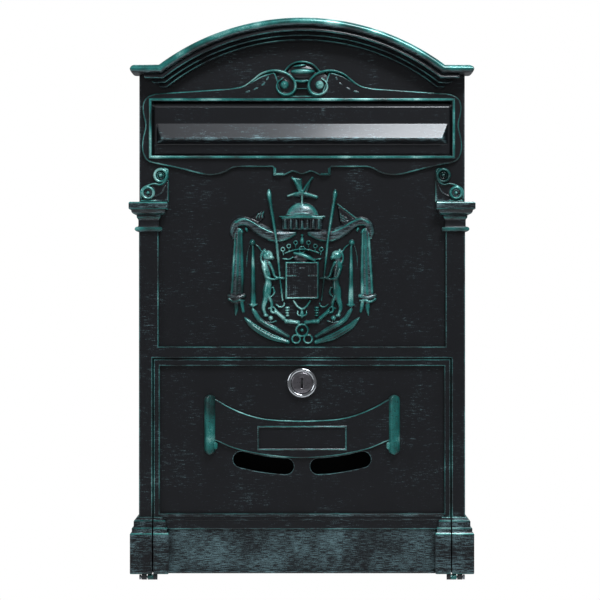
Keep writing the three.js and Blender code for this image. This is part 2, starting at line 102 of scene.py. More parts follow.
def castLacquer():
    # Die-cast aluminium, sprayed satin black and dry-brushed by hand with a teal verdigris paint:
    # the brush leaves full colour on raised edges and short, thin, greyer streaks on the flats.
    look = lacquerLook
    material, tree, shader = newMaterial("castLacquerVerdigris")
    # brushed wear on every piece, and on the crest a few tints that paint highlights
    wearAndHighlight = addNode(tree, "ShaderNodeAttribute", attribute_name="wearAndHighlight").outputs["Fac"]
    streak = stretchedNoise(tree, look["streakMm"], 3.0, 0.6)
    grain = stretchedNoise(tree, (look["grainMm"],) * 3, 3.0, 0.6, (3, 7, 1))
    patch = stretchedNoise(tree, (look["patchMm"],) * 3, 2.0, 0.5, (9, 2, 5))
    brushed = calc(tree, "ADD", calc(tree, "MULTIPLY", streak, 0.66), calc(tree, "MULTIPLY", grain, 0.34))
    uneven = calc(tree, "SUBTRACT", patch, 0.5)
    load = calc(tree, "ADD", wearAndHighlight, calc(tree, "MULTIPLY", uneven, look["patchiness"]))
    line = calc(tree, "SUBTRACT", look["threshold"], calc(tree, "MULTIPLY", load, look["reach"]))
    mask = calc(tree, "DIVIDE", calc(tree, "SUBTRACT", brushed, line), look["softness"], clamp=True)
    strength = calc(tree, "ADD", calc(tree, "MULTIPLY", wearAndHighlight, 0.55), calc(tree, "ADD", uneven, 0.36),
                    clamp=True)
    cover = calc(tree, "MULTIPLY", mask, strength)
    tone = calc(tree, "ADD", calc(tree, "MULTIPLY", wearAndHighlight, 0.36), calc(tree, "ADD", calc(
        tree, "MULTIPLY", grain, 0.45), calc(tree, "MULTIPLY", uneven, 1.1)))
    ramp = addNode(tree, "ShaderNodeValToRGB", {0: tone})
    ramp.color_ramp.elements[0].position = 0.3
    ramp.color_ramp.elements[0].color = hexColour(look["tealDeep"])
    ramp.color_ramp.elements[1].position = 0.88
    ramp.color_ramp.elements[1].color = hexColour(look["tealBright"])
    ramp.color_ramp.elements.new(0.6).color = hexColour(look["tealMid"])
    rich = addNode(tree, "ShaderNodeMapRange", {0: wearAndHighlight, 1: 0.44, 2: 0.66}).outputs[0]
    paint = addNode(tree, "ShaderNodeMix", {0: rich, 6: hexColour(look["greyTeal"]), 7: ramp.outputs[0]},
                    data_type="RGBA")
    dark = addNode(tree, "ShaderNodeMix", {
        0: patch, 6: hexColour(look["charcoal"]), 7: hexColour(look["charcoalLight"])}, data_type="RGBA")
    colour = addNode(tree, "ShaderNodeMix", {
        0: cover, 6: dark.outputs[2], 7: paint.outputs[2]}, data_type="RGBA")
    rough = addNode(tree, "ShaderNodeMapRange", {
        0: cover, 3: look["roughness"], 4: look["patinaRoughness"]}).outputs[0]
    relief = calc(tree, "ADD", calc(tree, "MULTIPLY", grain, 0.5), calc(tree, "MULTIPLY", cover, 0.6))
    bump = addNode(tree, "ShaderNodeBump", {"Strength": 0.45, "Distance": 0.22 * mm, "Height": relief})
    shader.inputs["Metallic"].default_value = 0.35
    shader.inputs["Coat Weight"].default_value = look["clearCoat"]
    shader.inputs["Coat Roughness"].default_value = look["coatRoughness"]
    tree.links.new(colour.outputs[2], shader.inputs["Base Color"])
    tree.links.new(calc(tree, "ADD", rough, calc(tree, "MULTIPLY", grain, 0.1)),
                   shader.inputs["Roughness"])
    tree.links.new(bump.outputs[0], shader.inputs["Normal"])
    return material


metalLooks = {
    "zincPlatedSteel": {
        "tones": ("#8f9496", "#b9bdbe"), "roughness": 0.34, "grainMm": (2.4, 2.4, 2.4), "bump": 0.08},
    "drawnSteelRod": {
        "tones": ("#74777a", "#94979a"), "roughness": 0.3, "grainMm": (12.0, 0.5, 0.5), "bump": 0.1},
    "polishedChrome": {
        "tones": ("#b4b6ba", "#d3d5d8"), "roughness": 0.16, "grainMm": (5.0, 5.0, 5.0), "bump": 0.02},
    "satinNickelPlug": {
        "tones": ("#716d71", "#959196"), "roughness": 0.3, "grainMm": (0.9, 0.9, 0.9), "bump": 0.12},
}


def plainMetal(name):
    # Plated or drawn metal: two close tones and a fine grain, so that it glints unevenly.
    look = metalLooks[name]
    material, tree, shader = newMaterial(name)
    grain = stretchedNoise(tree, look["grainMm"], 4.0, 0.6)
    tones = addNode(tree, "ShaderNodeMix", {
        0: grain, 6: hexColour(look["tones"][0]), 7: hexColour(look["tones"][1])}, data_type="RGBA")
    bump = addNode(tree, "ShaderNodeBump", {
        "Strength": look["bump"], "Distance": 0.2 * mm, "Height": grain})
    shader.inputs["Metallic"].default_value = 1.0
    tree.links.new(tones.outputs[2], shader.inputs["Base Color"])
    tree.links.new(calc(tree, "ADD", calc(tree, "MULTIPLY", grain, 0.16), look["roughness"] - 0.08),
                   shader.inputs["Roughness"])
    tree.links.new(bump.outputs[0], shader.inputs["Normal"])
    return material


# near-black tones of the back plate: partly its paint, partly painted shade for the dark inside of the
# box seen through the view slots
plateLook = {"tones": ("#0e0f11", "#17181b"), "patchMm": 60, "peelMm": 1.6, "roughness": 0.4}


def blackPaintAndInnerShade():
    # Thin satin black paint on the rolled steel of the back plate, with the paint's fine orange peel; the
    # near-black also stands in for the shade inside the box, seen through the view slots.
    material, tree, shader = newMaterial("blackSheetAndInnerShade")
    look = plateLook
    grain = stretchedNoise(tree, (look["peelMm"],) * 3, 3.0, 0.6)
    patch = stretchedNoise(tree, (look["patchMm"],) * 3)
    tones = addNode(tree, "ShaderNodeMix", {
        0: patch, 6: hexColour(look["tones"][0]), 7: hexColour(look["tones"][1])}, data_type="RGBA")
    bump = addNode(tree, "ShaderNodeBump", {"Strength": 0.25, "Distance": 0.15 * mm, "Height": grain})
    tree.links.new(tones.outputs[2], shader.inputs["Base Color"])
    rough = calc(tree, "ADD", calc(tree, "MULTIPLY", grain, 0.12), look["roughness"])
    tree.links.new(rough, shader.inputs["Roughness"])
    tree.links.new(bump.outputs[0], shader.inputs["Normal"])
    return material


materials = {name: plainMetal(name) for name in metalLooks}
materials["blackSheetAndInnerShade"] = blackPaintAndInnerShade()
materials["cast"] = castLacquer()
print("materials made:", len(materials))


# surfaces: each shape is its points in millimetres, its faces and a wear value for every point, which on
# the crest also carries a few painted highlights

def smoothLine(points, perSpan=6, closed=False):
    # Catmull-Rom: between two points a cubic that leaves and arrives along the chords of its neighbours
    p = np.asarray(points, float)
    if closed:
        ends = np.vstack([p[-1:], p, p[:2]])
    else:
        ends = np.vstack([2 * p[:1] - p[1:2], p, 2 * p[-1:] - p[-2:-1]])
    spans = len(ends) - 3
    a, b, c, d = (ends[i:i + spans, None, :] for i in range(4))
    t = np.linspace(0, 1, perSpan, endpoint=False)[None, :, None]
    run = 0.5 * (2 * b + (c - a) * t + (2 * a - 5 * b + 4 * c - d) * t ** 2 + (3 * b - 3 * c + d - a) *
                 t ** 3)
    run = run.reshape(-1, p.shape[1])
    return run if closed else np.vstack([run, p[-1:]])


def arcPoints(cx, cz, radius, start, stop, count):
    # points at even angles, in degrees, round a centre
    angle = np.radians(np.linspace(start, stop, count))
    return np.column_stack([cx + radius * np.cos(angle), cz + radius * np.sin(angle)])


def mitredNormals(path, closed):
    # left-hand normal of each stretch; at a corner the two neighbours' bisector, lengthened so that an
    # offset band keeps its width
    ahead = np.roll(path, -1, axis=0) - path if closed else np.diff(path, axis=0)
    ahead = ahead / np.linalg.norm(ahead, axis=1, keepdims=True)
    left = np.column_stack([-ahead[:, 1], ahead[:, 0]])
    before, after = (np.roll(left, 1, axis=0), left) if closed else (
        np.vstack([left[:1], left]), np.vstack([left, left[-1:]]))
    return (before + after) / (1 + np.sum(before * after, axis=1, keepdims=True))


def ringFaces(stations, ring, closed):
    # quads between neighbouring rings of a tube, and its two end faces if it is open
    i = np.arange(stations if closed else stations - 1)[:, None]
    j = np.arange(ring)[None, :]
    following = (i + 1) % stations
    quads = np.stack([i * ring + j, i * ring + (j + 1) % ring, following * ring + (j + 1) % ring,
                      following * ring + j], axis=-1).reshape(-1, 4).tolist()
    if not closed:
        quads += [list(range(ring)), list(range((stations - 1) * ring, stations * ring))]
    return quads


def sweepShape(path, section, closed=False, plane=(0, 2), ends=0.0, pivot=0.0):
    # a closed section of (offset, depth, wear) rows carried along a flat path: a point is the path's
    # point plus its mitred normal times offset, at that depth on the third axis. ends is the length
    # over which the offsets close in on pivot, along a quarter circle, to round off an open end.
    path = np.asarray(path, float)
    if ends:
        turn = np.radians([8, 22, 38, 55, 72])
        first, last = path[0] - path[1], path[-1] - path[-2]
        first, last = first / np.linalg.norm(first), last / np.linalg.norm(last)
        reach = (ends * np.cos(turn))[:, None]
        head, tail = path[0] - first * ends, path[-1] - last * ends
        path = np.vstack([head + first * reach, head, path[1:-1], tail, tail + last * reach[::-1]])
        squeeze = np.concatenate([np.sin(turn), np.ones(len(path) - 10), np.sin(turn)[::-1]])
    else:
        squeeze = np.ones(len(path))
    normals = mitredNormals(path, closed)
    section = np.asarray(section, float)
    offset = pivot + (section[None, :, 0] - pivot) * squeeze[:, None]
    grid = np.empty((len(path), len(section), 3))
    for k, axis in enumerate(plane):
        grid[..., axis] = path[:, None, k] + normals[:, None, k] * offset
    grid[..., 3 - sum(plane)] = section[None, :, 1]
    wearAndHighlight = np.broadcast_to(section[:, 2], grid.shape[:2])
    return grid.reshape(-1, 3), ringFaces(len(path), len(section), closed), wearAndHighlight.ravel()


def plateShape(outlines, profile):
    # a flat casting: the first outline is its edge and the others are holes. The profile's rows are
    # (inset into the material, y, wear) from the back rim to the front rim; flat faces close both.
    points, faces, wearAndHighlight, rims = [], [], [], ([], [])
    start = 0
    for index, outline in enumerate(outlines):
        loop = np.asarray(outline, float)
        nextLoop = np.roll(loop, -1, axis=0)
        area = np.sum(loop[:, 0] * nextLoop[:, 1] - nextLoop[:, 0] * loop[:, 1])
        if (area > 0) == (index > 0):
            loop = loop[::-1]
        normals = mitredNormals(loop, True)
        for inset, depth, level in profile:
            moved = loop + normals * inset
            points.append(np.column_stack([moved[:, 0], np.full(len(loop), depth), moved[:, 1]]))
            wearAndHighlight.append(np.full(len(loop), level))
        walls = ringFaces(len(profile), len(loop), False)[:-2]
        faces += [[start + corner for corner in face] for face in walls]
        for rim, row in zip(rims, (0, len(profile) - 1)):
            rim.append((start + row * len(loop), points[row - len(profile)][:, [0, 2]]))
        start += len(profile) * len(loop)
    for rim in rims:
        loops = [[Vector((x, z, 0)) for x, z in flat] for _, flat in rim]
        numbers = np.concatenate([first + np.arange(len(flat)) for first, flat in rim])
        faces += [[int(numbers[corner]) for corner in triangle] for triangle in tessellate_polygon(loops)]
    return np.vstack(points), faces, np.concatenate(wearAndHighlight)


def turnedShape(profile, x, z, segments=48, closed=False):
    # rows of (radius, y, wear) turned about the line through (x, z) along Y; a closed profile makes a
    # ring and an open one is capped at its first and last row
    profile = np.asarray(profile, float)
    angle = np.linspace(0, 2 * math.pi, segments, endpoint=False)[:, None]
    grid = np.stack([x + np.cos(angle) * profile[:, 0], np.broadcast_to(profile[:, 1],
            (segments, len(profile))), z + np.sin(angle) * profile[:, 0]], axis=-1)
    flipped = grid.transpose(1, 0, 2)
    return (flipped.reshape(-1, 3), ringFaces(len(profile), segments, closed),
            np.repeat(profile[:, 2], segments))


def mirrorShape(shape):
    # the shape with X negated and every face turned round, so that it still faces outwards
    points, faces, wearAndHighlight = shape
    return points * np.array([-1, 1, 1]), [face[::-1] for face in faces], wearAndHighlight


def joinShapes(*shapes):
    # shapes laid end to end, with each one's faces counted on from the points before it
    counts = np.cumsum([0] + [len(points) for points, _, _ in shapes])
    faces = [[corner + int(first) for corner in face] for first, shape in zip(counts, shapes)
             for face in shape[1]]
    return np.vstack([s[0] for s in shapes]), faces, np.concatenate([s[2] for s in shapes])


def bothSides(*shapes):
    # the shapes and their mirror images
    return joinShapes(*shapes, *(mirrorShape(shape) for shape in shapes))


def addPiece(name, shape, body, material="cast", replaces=(), sharp=38):
    # a shape made an object in metres, with outward normals, its wear values (on the crest with a few
    # painted highlights) and its place on a body
    points, faces, wearAndHighlight = shape
    mesh = bpy.data.meshes.new(name)
    mesh.from_pydata((np.asarray(points) * mm).tolist(), [], faces)
    mesh.attributes.new("wearAndHighlight", "FLOAT", "POINT").data.foreach_set("value", np.asarray(wearAndHighlight, np.float32))
    work = bmesh.new()
    work.from_mesh(mesh)
    bmesh.ops.recalc_face_normals(work, faces=work.faces)
    work.to_mesh(mesh)
    work.free()
    mesh.shade_smooth()
    mesh.set_sharp_from_angle(angle=math.radians(sharp))
    mesh.materials.append(materials[material])
    piece = bpy.data.objects.new(name, mesh)
    bpy.context.scene.collection.objects.link(piece)
    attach(piece, body)
    if replaces:
        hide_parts(*replaces)
    return piece


def rect(x0, x1, z0, z1, radius=0.0, steps=5):
    # a rectangle, anticlockwise, with rounded corners if radius is given
    if not radius:
        return np.array([(x0, z0), (x1, z0), (x1, z1), (x0, z1)], float)
    return np.vstack([arcPoints(x1 - radius, z0 + radius, radius, -90, 0, steps),
                      arcPoints(x1 - radius, z1 - radius, radius, 0, 90, steps),
                      arcPoints(x0 + radius, z1 - radius, radius, 90, 180, steps),
                      arcPoints(x0 + radius, z0 + radius, radius, 180, 270, steps)])


# reliefs drawn on a grid: a canvas holds a height and a tint for every cell

def newCanvas(x0, x1, z0, z1, step):
    # a grid of cells near step wide, all sunk 0.4 behind the ground
    xs = np.linspace(x0, x1, int(round((x1 - x0) / step)) + 1)
    zs = np.linspace(z0, z1, int(round((z1 - z0) / step)) + 1)
    return {"xs": xs, "zs": zs, "step": step, "height": np.full((len(zs), len(xs)), -0.4),
            "tint": np.zeros((len(zs), len(xs)))}


def stamp(canvas, x0, x1, z0, z1, height, tint, mirror=False):
    # keeps the higher of what is there and height(X, Z), inside a window of the canvas
    for side in ((1, -1) if mirror else (1,)):
        low, high = sorted((side * x0, side * x1))
        cols = slice(*np.searchsorted(canvas["xs"], (low, high)))
        rows = slice(*np.searchsorted(canvas["zs"], (z0, z1)))
        if cols.stop <= cols.start or rows.stop <= rows.start:
            continue
        x, z = np.meshgrid(side * canvas["xs"][cols], canvas["zs"][rows])
        made = height(x, z)
        there = canvas["height"][rows, cols]
        wins = made > there
        there[wins] = made[wins]
        canvas["tint"][rows, cols][wins] = tint


def stroke(canvas, line, tint=0.6, roundness=0.5, folds=0.0, pleats=1.0, mirror=False,
           perSpan=5, lift=0.0):
    # a raised stroke along rows of (x, z, width, height): height times the root of one less the
    # square of the distance over half the width, with folds as a cosine across the width
    line = smoothLine(line, perSpan) if len(line) > 2 else np.asarray(line, float)
    margin = line[:, 2].max() / 2 + 0.5

    def height(x, z):
        best = np.full(x.shape, -9.0)
        for (x0, z0, w0, h0), (x1, z1, w1, h1) in zip(line[:-1], line[1:]):
            dx, dz = x1 - x0, z1 - z0
            t = np.clip(((x - x0) * dx + (z - z0) * dz) / max(dx * dx + dz * dz, 1e-9), 0, 1)
            offX, offZ = x - x0 - t * dx, z - z0 - t * dz
            across = np.sign(offX * dz - offZ * dx) * np.hypot(offX, offZ) / ((w0 + (w1 - w0) * t) / 2)
            rise = (h0 + (h1 - h0) * t) * np.clip(1 - across ** 2, 0, 1) ** roundness
            if folds:
                rise = rise * (1 + folds * (np.cos(math.pi * pleats * across) - 1))
            best = np.maximum(best, np.where(np.abs(across) < 1, rise + lift, -9.0))
        return best

    stamp(canvas, line[:, 0].min() - margin, line[:, 0].max() + margin, line[:, 1].min() - margin,
          line[:, 1].max() + margin, height, tint, mirror)


def blob(canvas, x, z, halfX, halfZ, rise, tint=0.6, lean=0.0, mirror=False, lift=0.0):
    # half an ellipsoid on the canvas, leaned by an angle in degrees
    c, s = math.cos(math.radians(lean)), math.sin(math.radians(lean))
    reach = max(halfX, halfZ) + 0.5

    def height(gx, gz):
        u, v = (gx - x) * c + (gz - z) * s, (gz - z) * c - (gx - x) * s
        inside = 1 - (u / halfX) ** 2 - (v / halfZ) ** 2
        return np.where(inside > 0, lift + rise * np.sqrt(np.clip(inside, 0, 1)), -9.0)

    stamp(canvas, x - reach, x + reach, z - reach, z + reach, height, tint, mirror)


def facet(canvas, corners, rise, tint=0.6, bevel=0.8, mirror=False, pattern=None, lift=0.0):
    # a raised plate inside a convex outline, sloped at its edges over the width of the bevel
    loop = np.asarray(corners, float)
    following = np.roll(loop, -1, axis=0)
    turn = np.sign(np.sum(loop[:, 0] * following[:, 1] - following[:, 0] * loop[:, 1]))

    def height(gx, gz):
        nearest = np.full(gx.shape, 1e9)
        for (x0, z0), (x1, z1) in zip(loop, following):
            span = math.hypot(x1 - x0, z1 - z0)
            nearest = np.minimum(nearest, turn * ((x1 - x0) * (gz - z0) - (z1 - z0) * (gx - x0)) / span)
        made = lift + rise * np.clip(nearest / bevel, 0, 1)
        if pattern is not None:
            made = made + np.where(nearest > bevel, pattern(gx, gz), 0)
        return np.where(nearest > 0, made, -9.0)

    stamp(canvas, loop[:, 0].min(), loop[:, 0].max(), loop[:, 1].min(), loop[:, 1].max(), height, tint,
          mirror)


def hoop(canvas, x, z, radius, width, rise, tint=0.7, mirror=False, lift=0.0):
    # half a torus lying on the canvas
    reach = radius + width

    def height(gx, gz):
        off = (np.hypot(gx - x, gz - z) - radius) / (width / 2)
        return np.where(np.abs(off) < 1, lift + rise * np.sqrt(np.clip(1 - off ** 2, 0, 1)), -9.0)

    stamp(canvas, x - reach, x + reach, z - reach, z + reach, height, tint, mirror)


def spikes(canvas, x, z, tips, rise, tint=0.8, mirror=False):
    # ridged arms from a centre: each falls from its ridge to its edges and thins to its tip
    for tipX, tipZ, base in tips:
        length = math.hypot(tipX - x, tipZ - z)
        ux, uz = (tipX - x) / length, (tipZ - z) / length

        def height(gx, gz):
            along = (gx - x) * ux + (gz - z) * uz
            across = np.abs((gx - x) * uz - (gz - z) * ux)
            half = base / 2 * np.clip(1 - along / length, 0, 1)
            made = rise * (0.45 + 0.55 * (1 - along / length)) * (1 - across / np.maximum(half, 1e-6))
            return np.where((along > -0.5) & (across < half), made + 0.3, -9.0)

        stamp(canvas, min(x, tipX) - base, max(x, tipX) + base, min(z, tipZ) - base, max(z, tipZ) + base,
              height, tint, mirror)


def blurred(field, sigma):
    # Gaussian blur of so many cells, through the spectrum
    fz = np.fft.fftfreq(field.shape[0])[:, None]
    fx = np.fft.rfftfreq(field.shape[1])[None, :]
    return np.fft.irfft2(np.fft.rfft2(field) * np.exp(-2 * (math.pi * sigma) ** 2 * (fx ** 2 + fz ** 2)),
                         s=field.shape)


def reliefShape(canvas, ground, depth, soften=0.35, ridge=1.4, gain=1.1):
    # front face at ground plus height; the wear is each part's tint, more on what stands above its
    # blurred surroundings and less in the hollows; a few high tints paint highlights. The canvas's rim is
    # sunk behind the ground.
    step = canvas["step"]
    raised = blurred(canvas["height"], soften / step)
    crisp = 0.5 * raised + 0.5 * canvas["height"]
    height = np.where(canvas["height"] > -0.39, crisp, np.minimum(crisp,
            -0.3 + 0.3 * np.clip(crisp + 0.4, 0, 1)))
    rim = np.zeros(height.shape, bool)
    rim[:2], rim[-2:], rim[:, :2], rim[:, -2:] = True, True, True, True
    height[rim] = -0.4
    proud = height - blurred(height, ridge / step)
    tint = blurred(canvas["tint"], 0.5 * soften / step)
    wearAndHighlight = np.clip(tint * (0.82 + gain * np.clip(proud, -0.8, 0.4)) + 0.3 * np.clip(proud, 0, 1), 0, 1)
    x, z = np.meshgrid(canvas["xs"], canvas["zs"])
    front = np.stack([x, -(ground + height), z], axis=-1)
    rows, cols = height.shape
    number = np.arange(rows * cols).reshape(rows, cols)
    quads = np.stack([number[:-1, :-1], number[:-1, 1:], number[1:, 1:], number[1:, :-1]],
                     axis=-1).reshape(-1, 4)
    lower = np.column_stack([canvas["xs"], np.full(cols, -(ground - depth)),
                             np.full(cols, canvas["zs"][0])])
    upper = np.column_stack([canvas["xs"], np.full(cols, -(ground - depth)),
                             np.full(cols, canvas["zs"][-1])])
    low, high = rows * cols + np.arange(cols), rows * cols + cols + np.arange(cols)
    under = [np.stack([a[:-1], a[1:], b[1:], b[:-1]], axis=-1) for a, b in (
        (number[0], low), (number[-1], high), (low, high))]
    sides = [number[:, 0].tolist() + [int(high[0]), int(low[0])],
             number[:, -1].tolist() + [int(high[-1]), int(low[-1])]]
    faces = np.vstack([quads, *under]).tolist() + sides
    return (np.vstack([front.reshape(-1, 3), lower, upper]), faces,
            np.concatenate([wearAndHighlight.ravel(), np.zeros(2 * cols)]))


# casing: shell, facade, cornice

casing = {"halfWidth": 120, "bottom": -201, "wall": 3, "roof": 6.4, "back": -1.8, "front": -70,
          "archRadius": 175.6, "archCentre": 31.1, "stubTop": 172.1}
doorway = {"halfWidth": 110.1, "top": -42.7}
letterSlot = {"halfWidth": 110.3, "low": 106.3, "high": 146.05, "openHalf": 107.5, "openLow": 109,
              "openHigh": 140.5, "notchHigh": 147.5}


def archLine(offset, halfWidth, segments=56):
    # a level stub, a segmental arch and a level stub, all moved down or in by offset
    radius, footZ = casing["archRadius"] - offset, casing["stubTop"] - offset
    reach = math.acos((footZ - casing["archCentre"]) / radius)
    angle = np.linspace(-reach, reach, segments + 1)
    arch = np.column_stack([radius * np.sin(angle), casing["archCentre"] + radius * np.cos(angle)])
    return np.vstack([(-halfWidth, footZ), arch, (halfWidth, footZ)])


def bodyOutline(offset, inset):
    # the arch line on the casing's own sides and floor, those moved in by inset
    half, low = casing["halfWidth"] - inset, casing["bottom"] + inset
    return np.vstack([archLine(offset, half), (half, low), (-half, low)])


def wornEdge(back, front, bevel=0.8, flat=0.1, edge=0.9, side=0.1):
    # the rows of a plate's edge: plain side, rounded worn arris, flat face
    return [(0, back, side), (0, front + bevel + 0.5, side), (0, front + bevel * 0.9, edge * 0.6),
            (bevel * 0.3, front + bevel * 0.3, edge), (bevel, front, edge * 0.8),
            (bevel + 0.45, front, flat)]


def buildShell():
    # walls, roof and floor between two outlines, and the facade with its doorway and letter slot
    w = casing
    addPiece("casingShell", plateShape(
        [bodyOutline(3, 0), bodyOutline(w["roof"], w["wall"])],
        [(0, w["back"], 0.1), (0, -66.9, 0.1)]), "casing", replaces=("front_casing",))
    half, top = doorway["halfWidth"], doorway["top"]
    outer = bodyOutline(3, 0)[:-2]
    front = np.vstack([outer, (w["halfWidth"], w["bottom"]), (half, w["bottom"]), (half, top),
                       (-half, top), (-half, w["bottom"]), (-w["halfWidth"], w["bottom"])])
    s = letterSlot
    hole = [(-s["openHalf"], s["openLow"]), (s["openHalf"], s["openLow"]), (s["openHalf"], s["openHigh"]),
            (s["halfWidth"], s["openHigh"]), (s["halfWidth"], s["notchHigh"]),
            (-s["halfWidth"], s["notchHigh"]), (-s["halfWidth"], s["openHigh"]),
            (-s["openHalf"], s["openHigh"])]
    addPiece("casingFacade", plateShape([front, hole], wornEdge(-67, w["front"], 0.6, 0.11, 0.5)),
             "casing")


def buildLedges():
    # ledges the door shuts on, the strike for the cam, and six bosses turned about their screws
    outer = [(-117.5, -198.5), (-104, -198.5), (-104, -46), (104, -46), (104, -198.5), (117.5, -198.5),
             (117.5, -36), (-117.5, -36)]
    strip = [(-117.5, -198.5), (-110.1, -198.5), (-110.1, -42.6), (110.1, -42.6), (110.1, -198.5),
             (117.5, -198.5), (117.5, -36), (-117.5, -36)]
    addPiece("doorLedges", joinShapes(
        plateShape([outer], [(0, -62.8, 0.05), (0, -65.8, 0.05)]),
        plateShape([strip], [(0, -65.7, 0.05), (0, -67.2, 0.05)]),
        plateShape([rect(-14, 14, -41.5, -35)], [(0, -55.3, 0.05), (0, -67.2, 0.05)])), "casing")
    bosses = [turnedShape([(4, -22, 0.05), (4.5, -21.5, 0.05), (4.5, -1.8, 0.05), (2.2, -1.8, 0.05),
                           (2.2, -15, 0.05)], 113, z, 28) for z in (140, 0, -180)]
    addPiece("screwBosses", bothSides(*bosses), "casing")


cornice = {"names": ("corniceNosing", "corniceMemberUpper", "corniceMemberMiddle", "corniceMemberLower"),
           "tops": (0, 6.4, 9.8, 13), "thick": (6.6, 3.6, 3.4, 3.1),
           "halfWidths": (125.7, 115.5, 110, 104.8), "fronts": (-88, -84.5, -81.5, -78.5)}


def buildCornice():
    # four mouldings, each a section carried along its own arch, one below the other
    for k, name in enumerate(cornice["names"]):
        thick, front = cornice["thick"][k], cornice["fronts"][k]
        if k == 0:
            section = [(0, -66, 0.15), (0, front + 6, 0.3), (0, front + 4.6, 0.6),
                       (-0.35, front + 2.3, 0.9), (-1.2, front + 0.9, 1.0), (-2.3, front + 0.2, 0.95),
                       (-3.4, front, 0.9), (-4.6, front + 0.35, 0.6), (-5.6, front + 1.2, 0.35),
                       (-6.3, front + 2.6, 0.3), (-thick, front + 4.6, 0.2), (-thick, front + 6, 0.1),
                       (-thick, -66, 0.05)]
        else:
            section = [(0, -69, 0.05), (0, front + 1.6, 0.1), (-0.1, front + 0.9, 0.15),
                       (-0.6, front + 0.6, 0.15), (-thick * 0.45, front + 0.6, 0.1),
                       (-thick + 1.0, front + 0.35, 0.15), (-thick + 0.65, front, 0.6),
                       (-thick + 0.25, front, 0.62), (-thick, front + 0.4, 0.5),
                       (-thick, front + 1.0, 0.1), (-thick, -69, 0.05)]
        addPiece(name, sweepShape(archLine(cornice["tops"][k], cornice["halfWidths"][k]), section,
                                  ends=thick / 2, pivot=-thick / 2), "casing")


# columns: capitals, shafts, plinths

column = {"outer": 120, "inner": 105.6, "front": -74, "railTop": -34.3, "high": 59.9}
capitalProfile = [(3, 50.2, 0.05), (0, 50.2, 0.2), (-1.6, 50.45, 0.47), (-2.6, 51.2, 0.66),
                  (-2.9, 52.1, 0.7), (-2.6, 53.1, 0.78), (-1.6, 53.8, 0.58), (-0.5, 54.0, 0.2),
                  (-0.3, 54.8, 0.1), (-0.3, 58.4, 0.12), (-0.5, 59.3, 0.4), (-1.0, 60.0, 0.66),
                  (-1.4, 60.6, 0.74), (-1.5, 61.6, 0.47), (-1.5, 62.4, 0.3), (-2.3, 62.7, 0.62),
                  (-3.9, 63.3, 0.66), (-4.9, 64.4, 0.39), (-5.3, 65.8, 0.25), (-5.5, 66.4, 0.3),
                  (-6.5, 66.5, 0.62), (-6.95, 66.9, 0.74), (-7.0, 67.6, 0.4), (-7.0, 70.4, 0.35),
                  (-6.95, 71.1, 0.7), (-6.6, 71.8, 0.78), (-5.8, 72.0, 0.74), (-4.6, 72, 0.3),
                  (3, 72, 0.05)]
plinthProfile = [(3, -201, 0.05), (-5.4, -201, 0.4), (-6.0, -200.7, 0.7), (-6.2, -200, 0.55),
                 (-6.2, -199, 0.38), (-6.2, -172.4, 0.38), (-6.2, -171.6, 0.74), (-5.8, -170.95, 0.78),
                 (-5.2, -170.8, 0.39), (-4.9, -170.4, 0.3), (-4.9, -168.2, 0.35), (-4.85, -167.5, 0.74),
                 (-4.3, -167.05, 0.74), (-3.7, -166.9, 0.4), (-3.6, -166.3, 0.3), (-3.6, -162.9, 0.38),
                 (-3.5, -162.2, 0.74), (-2.9, -161.75, 0.74), (-1.8, -161.6, 0.4), (-1.6, -161.1, 0.3),
                 (-1.6, -160.2, 0.39), (-1.3, -159.6, 0.74), (-0.5, -159.4, 0.62), (0.4, -159.4, 0.2),
                 (3, -159.4, 0.05)]


def buildColumns():
    # capitals and plinths are profiles carried round each column, shafts and rail one flat plate;
    # the section of the hinge lugs is returned, since the door's knuckles share it
    c, w = column, casing
    capitalPath = [(-c["outer"], w["back"]), (-c["outer"], c["front"] - 1), (-c["inner"], c["front"] - 1),
                   (-c["inner"], -69)]
    capital = sweepShape(capitalPath, capitalProfile, plane=(0, 1))
    addPiece("columnCapitals", bothSides(capital), "casing")
    plinthPath = [(-c["outer"], w["back"]), (-c["outer"], c["front"]),
                  (-doorway["halfWidth"], c["front"])]
    addPiece("columnPlinths", bothSides(sweepShape(plinthPath, plinthProfile, plane=(0, 1))), "casing")
    half, low = doorway["halfWidth"], -160
    outline = [(-c["outer"], c["high"]), (-c["outer"], low), (-half, low), (-half, doorway["top"]),
               (half, doorway["top"]), (half, low), (c["outer"], low), (c["outer"], c["high"]),
               (c["inner"], c["high"]), (c["inner"], c["railTop"]), (-c["inner"], c["railTop"]),
               (-c["inner"], c["high"])]
    addPiece("columnShaftsAndRail", plateShape([outline], wornEdge(-69, c["front"], 0.6, 0.13, 0.72)),
             "casing")
    drop = arcPoints(0, 0, 2, 180, 360, 13)
    knuckle = [(z, -77 + y, 0.12) for y, z in drop] + [(2.6, -75, 0.1), (2.6, -79, 0.1)]
    addPiece("hingeLugs", bothSides(sweepShape([(-117.6, -203.3), (-114, -203.3)], knuckle)), "casing")
    return knuckle


# cartouche round the letter slot, volutes, hood and scroll brackets

# rows of x, z and how far from the corner its rounding starts
cartoucheSide = [(-13.2, 91.6, 1.6), (-21.3, 91.6, 1.0), (-21.2, 97.9, 1.0), (-50.7, 97.9, 5),
                 (-58, 92.9, 6), (-70, 91.4, 8), (-89.7, 96.6, 8), (-106, 100, 4), (-112.7, 101.3, 4),
                 (-116.6, 105.3, 4), (-118.2, 112, 5), (-117.4, 119.6, 5), (-114.9, 128.6, 5),
                 (-117.4, 137.4, 5), (-117.6, 143.9, 4), (-115.2, 149.2, 4), (-109, 152, 4),
                 (-78.6, 154, 9), (-46.6, 156.2, 8), (-36.8, 161, 6), (-29.4, 165.4, 5), (-20, 168, 2)]


